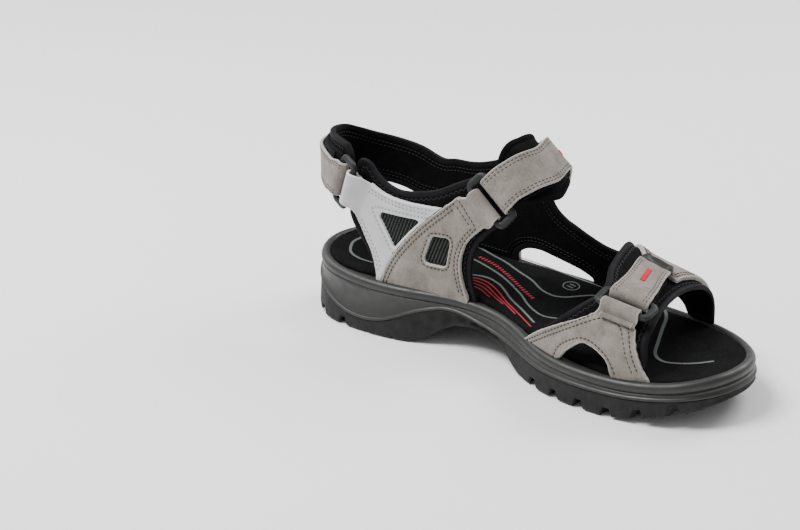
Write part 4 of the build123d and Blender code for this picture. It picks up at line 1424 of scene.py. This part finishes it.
def rows_inside(points, metric, distance, wanted):
    """Lines inside an outline at a distance, where a test says that they are wanted."""
    flat = points * np.array(metric, float)
    border = closed(flat)
    line = beside(border, distance)
    if not inside(line[len(line) // 3:len(line) // 3 + 1], [flat])[0]:
        line = beside(border, -distance)
    keep = edge_distance(line, [border]) > 0.93 * distance
    line = line / np.array(metric, float)
    keep &= wanted(line)
    pieces, start = [], None
    for k, good in enumerate(keep):
        if good and start is None:
            start = k
        if start is not None and (not good or k == len(keep) - 1):
            if k - start > 6:
                pieces.append(line[start:k])
            start = None
    return pieces


def above_sole(line):
    """Test for side view points over the rim of the sole."""
    return line[:, 1] > along(RIM_LINE, line[:, 0]) + 1.5


def mesh_relief(u, v):
    """Leaning ribs of the mesh."""
    return 0.24 * np.cos((0.92 * u - 0.39 * v) * 2 * math.pi / 1.75)


def short_of_ring(points, project, strap):
    """Outline cut off before a ring, where the tab's folded end takes over."""
    centre, run, _, bar = far_bar(*STRAPS[strap])
    start = centre - run * (RING_PITCH + TAB_REACH[strap] - 2)
    across = np.linspace(-17, 17, 30)[:, None] * bar
    ahead = np.linspace(0, 26, 24)[:, None] * run
    border = np.concatenate([start + across, start + across[-1] + ahead[1:],
                             start + across[::-1] + ahead[-1], start + across[0] + ahead[:0:-1]])
    hidden = inside(points, [np.stack(project(border), -1)])
    return resample(points[~hidden], 0.8)


def make_lining(name, overlock, nodes, surface, edge, metric, wanted, paints,
                lift=LINING_SEAM, relief=None):
    """Padded lining with a bound edge and an overlock seam beside it."""
    lining = panel(name, surface, [edge], bound_edge(LINING), paints["lining"], metric=metric,
                   rows=BOUND_ROWS, relief=relief)
    place_piece(lining, "sandal", "lining", *nodes)
    rows = rows_inside(edge, metric, OVERLOCK_IN, wanted)
    seam = zigzag_rows(overlock, surface, rows, lift, paints["thread_dark"])
    place_piece(seam, "sandal", "lining")
    return rows


def make_mesh(name, node, surface, edge, metric, pitch, relief, paints):
    """Ribbed mesh behind the windows, stretched over a lining."""
    mesh = panel(name, surface, [edge], (level(MESH[1]), level(MESH[0] - 0.1)), paints["mesh"],
                 metric=metric, pitch=pitch, rows=(0.4,), relief=relief)
    place_piece(mesh, "sandal", "mesh", node)


def make_leather(slot, name, node, surface, loops, rows, metric, paints, pitch=1.5):
    """Leather panel and its stitching."""
    paint, lift, thread, gap, radius = LEATHERS[slot]
    piece = panel(name, surface, loops, leather_edge(), paints[paint], metric=metric,
                  seams=rows, pitch=pitch)
    place_piece(piece, "sandal", slot, node)
    seam = stitch_rows(f"{name}_stitching", surface, rows, lift, paints[thread], gap=gap,
                       radius=radius)
    place_piece(seam, "sandal", slot)


def make_inner_side(paints):
    """Lining, mesh, heel panel and quarter of the inner side, with their stitching."""
    wall = side_point(MEDIAL)
    edge = resample(softened(lining_loop()), 0.8)
    make_lining("lining_inner", "lining_inner_overlock", ["lining_medial"], wall, edge,
                SIDE_METRIC, above_sole, paints)
    make_mesh("mesh_inner", "mesh_medial", wall, rounded(MESH_PANEL, 4),
              SIDE_METRIC, 0.42, mesh_relief, paints)

    edge = short_of_ring(heel_panel_loop(), project_side, "heel")
    make_leather("leather_light", "heel_panel_inner", "heel_panel_medial", wall,
                 [ragged(edge, 0.08), heel_window_loop()], drawn(HEEL_PANEL_ROWS),
                 SIDE_METRIC, paints)

    window = rounded(QUARTER_WINDOW, WINDOW_CORNER)
    edge = short_of_ring(quarter_loop(), project_side, "instep")
    make_leather("nubuck_grey", "quarter_inner", "quarter_medial", wall,
                 [ragged(edge), ragged(window, 0.1)],
                 drawn(QUARTER_ROWS) + [quarter_window_row()], SIDE_METRIC, paints)


def make_outer_side(paints):
    """Mesh, heel panel and quarter of the outer side, drawn in side view, on the arch."""
    def laid(outline):
        return even_loop(arched(outline, LATERAL), ARCH_METRIC)

    make_mesh("mesh_outer", "mesh_lateral", arch_point,
              laid(rounded(MESH_PANEL, 4)), ARCH_METRIC, 0.6,
              lambda x, turn: mesh_relief(x, 70 - turn), paints)

    whole = lateral_loop()
    rear = [(x - 0.25, z + 0.25) for x, z in HEEL_SEAM]
    rows = drawn([[(-77, 71.5), (-65.5, 71.8), (-56, 73.2), (-47, 75.6)],
                  [(-77, 69.6), (-65.5, 69.9), (-56, 71.2), (-46, 74)],
                  [(-78, 49), (-76, 44), (-72.4, 36), (-70, 31)],
                  HEEL_PANEL_ROWS[6]])
    edge = laid(split(whole, rear, keep_front=False))
    make_leather("leather_light", "heel_panel_outer", "heel_panel_lateral", arch_point,
                 [ragged(edge, 0.08), laid(heel_window_loop())],
                 [arched(row, LATERAL) for row in rows], ARCH_METRIC, paints)

    _, front, lens, _ = lateral_runs(0)
    rows = drawn([[(-66.5, 28), (-60, 42.6), (-41.6, 62.8), (-31, 78.6)],
                  [(-64.5, 28.5), (-58, 42), (-40, 61.6), (-29.6, 77.6)],
                  [(x - 1.8, z - 1.5) for x, z in front[:-1]],
                  [(x - 3.6, z - 3.1) for x, z in front[1:-1]],
                  [(x, z + 1.9) for x, z in lens[1:-1]],
                  [(-29.6, 80.2), (-24, 82.6), (-13, 73.4)]]) + [quarter_window_row()]
    edge = laid(split(whole, HEEL_SEAM, keep_front=True))
    window = laid(rounded(QUARTER_WINDOW, WINDOW_CORNER))
    make_leather("nubuck_grey", "quarter_outer", "quarter_lateral", arch_point,
                 [ragged(edge), ragged(window, 0.1)], [arched(row, LATERAL) for row in rows],
                 ARCH_METRIC, paints, pitch=1.6)


def round_heel(line):
    """Side view line of the outer side as (turn, z), carried on from the heel."""
    x, z = np.asarray(line, float).T
    turn = 90 + np.degrees((x - HEEL_CENTRE) / HEEL_RADIUS)
    return list(zip(turn.tolist(), z.tolist()))


def collar_swell(turn, _):
    """How much thicker the padding is round the heel than along the outer side."""
    return (COLLAR[1] - LINING[1]) * np.clip((105 - turn) / 25, 0, 1)


def make_collar(paints):
    """One padded band: collar round the back of the heel, lining of the outer side."""
    top, front, lens, rear = (round_heel(run) for run in lateral_runs(3))
    arm, lens_toe, lens_heel, foot = (round_heel([sole_edge(x)])[0] for x in (
        LATERAL_FRONT[-1][0], LENS_TOP[0][0], LENS_TOP[-1][0], LATERAL_REAR[-1][0]))
    start = (-80, 80)
    edge = loop([start, (-78.5, 90), COLLAR_TOP[0]], COLLAR_TOP + top, [top[-1], front[0]],
                front, [front[-1], arm], [arm, lens_toe], [lens_toe, lens[0]], lens,
                [lens[-1], lens_heel], [lens_heel, foot], [foot, rear[-1]],
                rear[::-1] + COLLAR_BOTTOM[::-1],
                [COLLAR_BOTTOM[0], (-62, 64.8), (-78, 68), start], step=1.0)
    edge = even_loop(softened(edge), HEEL_METRIC)

    def above_rim(line):
        x = HEEL_CENTRE + np.radians(line[:, 0] - 90) * HEEL_RADIUS
        return (line[:, 0] < 90) | above_sole(np.stack([x, line[:, 1]], 1))
    rows = make_lining("lining_outer", "lining_outer_overlock",
                       ["heel_collar", "lining_lateral"], heel_point, edge, HEEL_METRIC,
                       above_rim, paints, lambda t, z: LINING_SEAM + collar_swell(t, z),
                       collar_swell)
    rows += rows_inside(edge, HEEL_METRIC, INNER_ROW_IN, above_rim)
    seam = stitch_rows("lining_outer_inner_rows", heel_point, rows, 0.16,
                       paints["thread_dark"], radius=0.22)
    place_piece(seam, "sandal", "lining")


def vamp_gap(side):
    """Side view of the arched gap low in the vamp."""
    first, last, top = (50, 82, 30.5) if side < 0 else (44, 68, 29.5)
    middle = (first + last) / 2
    low = float(along(RIM_LINE, middle)) - UPPER_BOTTOM - 3
    return run_loop([(first, low), (last, low)], [(last, 18), (last - 4, top - 4), (middle, top),
                                                  (first + 7, top - 5), (first, 18)])


def trimmed(points, side):
    """Outline in (x, turn) with its foot cut level with the sole."""
    z = along(RIM_LINE, points[:, 0]) - UPPER_BOTTOM
    foot = np.degrees(np.arctan2(half_width(points[:, 0], z, side), z - FORM_BASE))
    return np.stack([points[:, 0], side * np.minimum(np.abs(points[:, 1]), foot)], 1)


def cut_gap(edge, gap, metric):
    """Outline with an arched gap cut into its foot."""
    edge, gap = resample(edge * metric, 0.8), resample(gap * metric, 0.8)
    hit = inside(edge, [gap])
    first = int(np.argmax(hit & ~np.roll(hit, 1)))
    rest = np.roll(edge, -first, axis=0)[int(hit.sum()):]
    arch = gap[inside(gap, [edge])]
    jump = np.linalg.norm(np.diff(arch, axis=0, append=arch[:1]), axis=1)
    arch = np.roll(arch, -(int(jump.argmax()) + 1), axis=0)
    if np.linalg.norm(arch[0] - rest[-1]) > np.linalg.norm(arch[-1] - rest[-1]):
        arch = arch[::-1]
    return np.concatenate([rest, arch]) / metric


def band_loop(rear, front, low, high):
    """Outline in (x, turn) of a band over the arch between two lines of x against turn."""
    turns = np.linspace(low, high, 90)
    back = np.stack([along(rear, turns), turns], 1)
    ahead = np.stack([along(front, turns), turns], 1)
    first = smooth([tuple(ahead[-1]), tuple(back[-1])])[1:-1]
    last = smooth([tuple(back[0]), tuple(ahead[0])])[1:-1]
    return np.concatenate([ahead, first, back[::-1], last])


def vamp_side_loop():
    """Side view of the inner vamp leather, up to the forefoot ring."""
    return run_loop(VAMP_SIDE_REAR, [(67, 46.6), (86.5, 44)], VAMP_SIDE_FRONT,
                    [sole_edge(x) for x in (99, 80, 50, 24)], step=0.5)


def make_vamp(paints):
    """Forefoot band: lining, inner leather up to the ring, outer leather."""
    metric = np.array(VAMP_METRIC)
    gaps = {side: arched(vamp_gap(side), side) for side in (MEDIAL, LATERAL)}
    edge = band_loop(VAMP_REAR, VAMP_FRONT, -93, 91)
    edge = np.where(edge[:, 1:] < 0, trimmed(edge, MEDIAL), trimmed(edge, LATERAL))
    for gap in gaps.values():
        edge = cut_gap(edge, gap, metric)
    make_lining("vamp_lining_band", "vamp_overlock", ["vamp_lining"], arch_point,
                even_loop(softened(edge), VAMP_METRIC), VAMP_METRIC,
                lambda line: np.abs(line[:, 1]) < SEWN_TURN, paints)

    edge = short_of_ring(arched(vamp_side_loop(), MEDIAL), project_arch, "forefoot")
    edge = even_loop(cut_gap(edge, gaps[MEDIAL], metric), VAMP_METRIC)
    rows = [arched(smooth(row, 0.5), MEDIAL) for row in VAMP_ROWS]
    make_leather("nubuck_grey", "vamp_inner", "vamp_medial", arch_point, [ragged(edge)], rows,
                 VAMP_METRIC, paints)

    edge = trimmed(band_loop(OUTER_VAMP_REAR, OUTER_VAMP_FRONT, 22, 91), LATERAL)
    edge = even_loop(cut_gap(edge, gaps[LATERAL], metric), VAMP_METRIC)
    rows = [row for distance in (1.8, 3.7) for row in
            rows_inside(edge, VAMP_METRIC, distance, lambda line: line[:, 1] < SEWN_TURN)]
    make_leather("nubuck_grey", "vamp_outer", "vamp_lateral", arch_point, [ragged(edge)], rows,
                 VAMP_METRIC, paints)


# ------------------------------------------------------------------ straps and rings

FOLD_HALF = 10.3
STRIP_RADIUS = 2.85         # middle of the flap where it goes round the far bar
KEEPER_RADIUS = 2.7
KEEPER_HALF = 10.0
KEEPER_LIFT = 3.93          # middle of the tab where it leaves the panel
KEEPER_WRAP = 115           # degrees round the near bar, from its top each way
FLAP_ROWS = (0.865, 0.71)   # stitch rows across the flap, as shares of its half width
TAB_REACH = {"heel": 11.0, "instep": 13.0, "forefoot": 11.5}
STRAP_RUNS = {
    # strap start and end, flap end, tab end, loop patch, mark
    "heel": (0.4, 6, 4.9, 5.6, (0.8, 5.6), (2.6, 3.8)),
    "instep": (0.5, 5.05, 4.85, 5.5, (0.8, 4.8), (3.35, 4.5)),
    "forefoot": (0.4, 3.1, 3.35, 3.95, (0.8, 3.85), (1.45, 2.65)),
}


def far_bar(surface, extra):
    """Centre of a ring's far bar, and unit vectors along the strap, outward, along the bar."""
    at = [np.array([0.0]), np.array([0.0])]
    centre = lifted(surface, *at, np.array([BAR_LIFT + extra]))[0]
    bar = unit(surface(0, 1) - surface(0, -1))
    run = surface(0.05, 0) - surface(-0.05, 0)
    run = unit(run - bar * (run @ bar))
    if np.cross(bar, run) @ (centre - surface(0, 0)) < 0:
        bar = -bar
    return centre, run, np.cross(bar, run), bar


def flap_map(surface, extra, shares=(0.96, 0.96)):
    """Maps (run, -1 to 1 across) to the flap's middle; below 0 it folds round the far bar."""
    centre, run, away, bar = far_bar(surface, extra)
    across = surface(0, 1) - surface(0, -1)
    sense = 1 if across @ bar > 0 else -1

    def lift(s):
        rise = BAR_LIFT + STRIP_RADIUS - FLAP_MIDDLE
        return FLAP_MIDDLE + extra + rise * eased(1 - s / 1.6)

    def place(t, w):
        t, w = np.broadcast_arrays(np.asarray(t, float), np.asarray(w, float))
        s = np.maximum(t, 0)
        laid = lifted(surface, s, w * np.where(w < 0, *shares), lift(s))
        ahead = (lifted(surface, s, 0 * w, lift(s)) - centre) @ run
        up = lift(s) - BAR_LIFT - extra
        turn = np.radians(90 + 135 * np.clip(-t, 0, 1))
        ahead = np.where(t < 0, STRIP_RADIUS * np.cos(turn), ahead)
        up = np.where(t < 0, STRIP_RADIUS * np.sin(turn), up)
        held = (centre + run * ahead[..., None] + away * up[..., None]
                + bar * (sense * FOLD_HALF * w)[..., None])
        share = eased(t / 0.6)[..., None]
        return held * (1 - share) + laid * share

    def normal(t, w):
        step = 0.01
        n = unit(np.cross(place(t + step, w) - place(t - step, w),
                          place(t, w + step) - place(t, w - step)))
        above = place(0.3, 0) - surface(0.3, 0)
        sign = 1 if np.cross(place(0.31, 0) - place(0.29, 0),
                             place(0.3, 0.01) - place(0.3, -0.01)) @ above > 0 else -1
        return n * sign
    place.normal = normal
    return place


def strip_places(last):
    """Places along a flap: close round the fold, closer still at the free end."""
    fold = np.linspace(-1, 0, 19)[:-1]
    body = np.linspace(0, last - 0.2, int(last * 9))
    end = last - np.array([0.14, 0.09, 0.05, 0.02, 0.0])
    return np.concatenate([fold, body, end])


def make_flap(name, surface, extra, last, paints):
    """Nubuck strap end: round the far bar, back over itself, sewn along both edges."""
    place = flap_map(surface, extra, (0.76, 0.96) if name == "heel" else (0.96, 0.96))
    t = strip_places(last)
    near = np.array([0, 0.012, 0.035, 0.07, 0.11])
    w = np.concatenate([-1 + near, np.linspace(-0.85, 0.85, 15), 1 - near[::-1]])
    rows, columns = np.meshgrid(t, w, indexing="ij")
    gap = np.minimum((1 - np.abs(columns)) * 11, np.minimum(rows + 1, last - rows) * 9)
    half = edge_profile(gap, (FLAP[1] - FLAP[0]) / 2, 0.5, 0.55)
    middle, out = place(rows, columns), place.normal(rows, columns)
    press = 0.16 * sum(bell((np.abs(columns) - row) * 11 / 0.5) for row in FLAP_ROWS)
    half = half - press * (rows > -0.1) / 2
    flap = shell(f"{name}_flap_strip", middle, out, half, paints["nubuck"])
    store(flap, "rim", gap)
    place_piece(flap, f"{name}_flap_body", "nubuck_grey", f"{name}_flap")
    lines = [smooth([(-0.3, edge * row), (last - 0.12, edge * row)], 0.03)
             for edge in (-1, 1) for row in FLAP_ROWS]
    seam = stitch_rows(f"{name}_flap_stitching", place, lines, 0.75, paints["thread_taupe"])
    place_piece(seam, f"{name}_flap_body", "nubuck_grey")


def strap_metric(surface):
    """Millimetres per unit along and across a strap."""
    along_it = np.linalg.norm(surface(2.2, 0) - surface(1.8, 0)) / 0.4
    across = np.linalg.norm(surface(2, 0.5) - surface(2, -0.5))
    return along_it, across


def block_loop(low, high, half, corner, metric, half_high=None):
    """Rounded rectangle in strap coordinates; the half widths may differ at the ends."""
    wide = half if half_high is None else half_high
    corners = np.array([(low, -half), (high, -wide), (high, wide), (low, half)]) * metric
    return rounded(corners, corner) / metric


def slab(name, surface, loops, low, high, material, metric, radius=0.5, pitch=1.6, relief=None,
         rows=(0.1, 0.25, 0.45, 0.7)):
    """Moulded or cut block that lies on a strap, its outer edge rounded."""
    faces = (lambda d: high - radius * (1 - round_over(d, radius)), level(low))
    return panel(name, surface, loops, faces, material, metric=metric, pitch=pitch, rows=rows,
                 relief=relief)


def make_tab(name, surface, extra, first, last, metric, material):
    """Moulded grip: rounded block with a thumb hollow and ribs on both sides of it."""
    length, width = (last - first) * metric[0], metric[1]
    middle = (first + last) / 2 - 0.1 * (last - first)

    def relief(s, v):
        along_it = (s - middle) * metric[0]
        oval = (along_it / (0.22 * length + 1)) ** 2 + (v * width / 5.0) ** 2
        hollow = -0.75 * np.clip(1.25 - oval, 0, 1)
        lip = 0.35 * bell((np.sqrt(oval) - 1.3) / 0.16)
        ribs = 0.22 * np.cos(along_it * 2 * math.pi / 1.6) * (np.abs(v) > 0.62)
        return hollow + lip + ribs
    edge = block_loop(first, last, 0.97, 2.2, metric, half_high=0.86)
    tab = slab(f"{name}_pull_tab_grip", surface, [edge], PULL_TAB[0] + extra,
               PULL_TAB[1] + extra - 0.1, material, metric, radius=0.9, pitch=0.8,
               relief=relief, rows=(0.12, 0.3, 0.55, 0.85))
    place_piece(tab, f"{name}_flap_body", "tab_plastic", f"{name}_pull_tab")


def make_ring(name, frame, material):
    """Moulded loop with wider, flatter side bars."""
    centre, run, away, bar = frame
    middle = centre - run * RING_PITCH / 2
    corners = np.array([(-1, -1), (1, -1), (1, 1), (-1, 1)]) * [RING_SPAN / 2 - 0.3,
                                                                RING_PITCH / 2]
    path = rounded(corners, RING_CORNER, 0.5)
    side = -loop_left(path)
    at_side = eased((np.abs(path[:, 0]) - (RING_SPAN / 2 - 2.2)) / 1.7)
    across, high = 1.55 + 0.4 * at_side, 1.55 - 0.2 * at_side
    sides, n, points, faces = 20, len(path), [], []
    for k in range(sides):
        angle = 2 * math.pi * k / sides
        c, s = math.cos(angle), math.sin(angle)
        c, s = math.copysign(abs(c) ** 0.85, c), math.copysign(abs(s) ** 0.85, s)
        flat = path + side * (across * c)[:, None]
        points.append(middle + bar * flat[:, :1] + run * flat[:, 1:] + away * (high * s)[:, None])
        ahead = (k + 1) % sides
        faces += [(k * n + i, k * n + (i + 1) % n, ahead * n + (i + 1) % n, ahead * n + i)
                  for i in range(n)]
    ring = add_mesh(f"{name}_ring_loop", np.concatenate(points), faces, material, 60)
    fix_normals(ring)
    place_piece(ring, f"{name}_ring_body", "ring_plastic", f"{name}_ring")


def fix_normals(piece):
    """Turns every face of a closed mesh outward."""
    work = bmesh.new()
    work.from_mesh(piece.data)
    bmesh.ops.recalc_face_normals(work, faces=work.faces)
    work.to_mesh(piece.data)
    work.free()


def project_side(point):
    """Side view coordinates of points."""
    return point[..., 0], point[..., 2]


def project_arch(point):
    """Arch coordinates of points."""
    turn = np.degrees(np.arctan2(point[..., 1], point[..., 2] - FORM_BASE))
    return point[..., 0], turn


def room_beside(centres, bar, project, outline, most):
    """How far a strip may reach each way from its middle and stay over an outlined panel."""
    room = []
    for sign in (-1, 1):
        tries = np.arange(0, most + 0.3, 0.2)
        points = centres[:, None] + bar * (sign * tries)[None, :, None]
        flat = np.stack(project(points), -1).reshape(-1, 2)
        within = inside(flat, [outline]).reshape(points.shape[:2])
        first = np.where(within.all(1), len(tries), (~within).argmax(1))
        room.append(np.clip(first * 0.2 - 0.1, 2, most))
    return room


def make_keeper(name, frame, surface, project, outline, slot_name, material):
    """End of the leather tab: rises off the panel, goes round the near bar and under."""
    centre, run, away, bar = frame
    near = centre - run * RING_PITCH
    start = near - run * TAB_REACH[name]
    t = np.linspace(0, 1, 24)[:-1, None, None]
    turn = np.radians(np.linspace(KEEPER_WRAP, -KEEPER_WRAP, 22))
    ahead = np.concatenate([KEEPER_RADIUS * np.cos(turn), [-3.2, -5.5]])
    up = np.concatenate([KEEPER_RADIUS * np.sin(turn), [-3.0, -3.2]])
    def rising(w):
        """Smooth run from the panel to the top of the near bar, w from the middle."""
        base = start + bar * w[..., None]
        foot, beyond = (lifted(surface, *project(p), np.full(w.shape, KEEPER_LIFT))
                        for p in (base, base + run * 0.5))
        top = near + run * ahead[0] + away * up[0] + bar * w[..., None]
        pull = 0.9 * np.linalg.norm(top - foot, axis=-1, keepdims=True)
        leave, arrive = unit(beyond - foot) * pull, unit(run * up[0] - away * ahead[0]) * pull
        return hermite(t, foot, top, leave, arrive)
    near_edge = np.array([0, 0.15, 0.4, 0.8, 1.3])
    w = np.concatenate([-KEEPER_HALF + near_edge, np.linspace(-8.2, 8.2, 11),
                        KEEPER_HALF - near_edge[::-1]])
    free = eased(t[:, :, 0] / 0.8)
    centres = rising(np.zeros((1, 1)))[:, 0]
    low, high = ((1 - free) * side[:, None] + free * KEEPER_HALF for side in
                 room_beside(centres, bar, project, outline, 16.0))
    risen = rising(w[None, :] / KEEPER_HALF * np.where(w[None, :] < 0, low, high))
    tuck = np.linspace(1, 0.86, len(ahead))[:, None]
    held = near + run * ahead[:, None, None] + away * up[:, None, None]
    held = held + bar * (tuck * w[None, :])[..., None]
    middle = np.concatenate([risen, held])
    rows, columns = np.gradient(middle, axis=0), np.gradient(middle, axis=1)
    out = unit(np.cross(rows, columns))
    if out[5, 10] @ away < 0:
        out = -out
    gap = np.tile(KEEPER_HALF - np.abs(w), (len(middle), 1))
    half = edge_profile(gap, 0.65, 0.45, 0.55)
    keeper = shell(f"{name}_tab_fold", middle, out, half, material)
    store(keeper, "rim", gap)
    place_piece(keeper, "sandal", slot_name)


def make_strap(name, paints):
    """Every piece of one hook-and-loop strap."""
    surface, extra = STRAPS[name]
    start, root, flap_end, tab_end, patch, mark = STRAP_RUNS[name]
    metric = strap_metric(surface)
    frame = far_bar(surface, extra)
    flap_body = f"{name}_flap_body"

    edge = block_loop(start, root, 0.98, 1.5, metric)
    under = slab(f"{name}_strap_webbing", surface, [edge], UNDER_STRAP[0] + extra,
                 UNDER_STRAP[1] + extra, paints["webbing"], metric)
    place_piece(under, "sandal", "lining", f"{name}_strap_under")
    edge = block_loop(*patch, 0.86, 1.0, metric)
    loops = slab(f"{name}_loop_tape", surface, [edge], LOOP_PATCH[0] + extra - 0.25,
                 LOOP_PATCH[1] + extra, paints["loop"], metric, radius=0.3)
    place_piece(loops, "sandal", "loop_tape", f"{name}_loop_patch")
    edge = block_loop(patch[0] + 0.5, flap_end - 0.1, 0.76, 1.0, metric)
    hooks = slab(f"{name}_hook_tape", surface, [edge], HOOK_PATCH[0] + extra,
                 HOOK_PATCH[1] + extra, paints["hook"], metric, radius=0.2)
    place_piece(hooks, flap_body, "hook_tape", f"{name}_hook_patch")

    make_ring(name, frame, paints["ring"])
    make_flap(name, surface, extra, flap_end, paints)
    make_tab(name, surface, extra, flap_end - 0.06, tab_end, metric, paints["tab"])
    edge = block_loop(*mark, 0.14, 0.4, metric)
    bar = slab(f"{name}_mark_bar", surface, [edge], FLAP[1] + extra - 0.1, FLAP[1] + extra + 0.45,
               paints["red"], metric, radius=0.25, pitch=0.8, rows=(0.08, 0.2, 0.4))
    place_piece(bar, flap_body, "mark_red", f"{name}_mark")
    return frame


def make_pad(paints):
    """Padded tongue under the instep strap."""
    spread = [(0.3, 0.9), (1, 1.35), (2, 1.6), (3, 1.55), (4, 1.42), (4.45, 1.25), (4.75, 0.95)]
    metric = strap_metric(INSTEP)
    s = np.linspace(0.3, 4.75, 60)
    front = np.stack([s, along(spread, s)], 1)
    rear = front * [1, -1] - np.stack([0 * s, 0.3 * bell((s - 1.6) / 1.3)], 1)
    edge = np.concatenate([front, rear[::-1]])
    edge = resample(softened(resample(edge * metric, 1.0)), 0.8) / metric
    pad = panel("instep_pad_tongue", INSTEP, [edge], bound_edge(PAD, bulge=0.4),
                paints["padding"], metric=metric, rows=BOUND_ROWS)
    place_piece(pad, "sandal", "lining", "instep_pad")


# ------------------------------------------------------------------ the whole sandal


def make_sole(paints):
    """Outsole, midsole and footbed; the hidden CAD layers get their materials."""
    place_piece(make_outsole(paints["outsole"]), "sandal", "outsole_rubber", "outsole")
    place_piece(make_midsole(paints["midsole"]), "sandal", "midsole_foam", "midsole")
    cover = make_cover(paints["cover"])
    place_piece(cover, "sandal", "footbed_cover", "footbed_cover")
    edge = resample(np.array(FOOTBED_OUTLINE) * 0.985, 2)
    foam = panel("footbed_layer", footbed_point, [edge],
                 (level(0.15 - COVER_THICK - COVER_PROUD), level(-3.4 - COVER_PROUD)),
                 paints["foam"], pitch=4, rows=(1.5,))
    place_piece(foam, "sandal", "footbed_foam", "footbed")
    for piece in make_prints(paints["print_grey"], paints["print_red"]):
        place_piece(piece, "sandal", "footbed_cover")
    for node, paint in (("shank", "shank"), ("insole_board", "board")):
        mesh = frame["nodes"][node].data
        mesh.materials.clear()
        mesh.materials.append(paints[paint])


make_camera()
make_studio()
paints = make_paints()
make_sole(paints)
make_inner_side(paints)
make_outer_side(paints)
make_collar(paints)
make_vamp(paints)
make_pad(paints)
frames = {name: make_strap(name, paints) for name in STRAPS}
make_keeper("heel", frames["heel"], side_point(MEDIAL), project_side, heel_panel_loop(),
            "leather_light", paints["light"])
make_keeper("instep", frames["instep"], side_point(MEDIAL), project_side, quarter_loop(),
            "nubuck_grey", paints["nubuck"])
make_keeper("forefoot", frames["forefoot"], arch_point, project_arch,
            arched(vamp_side_loop(), MEDIAL), "nubuck_grey", paints["nubuck"])
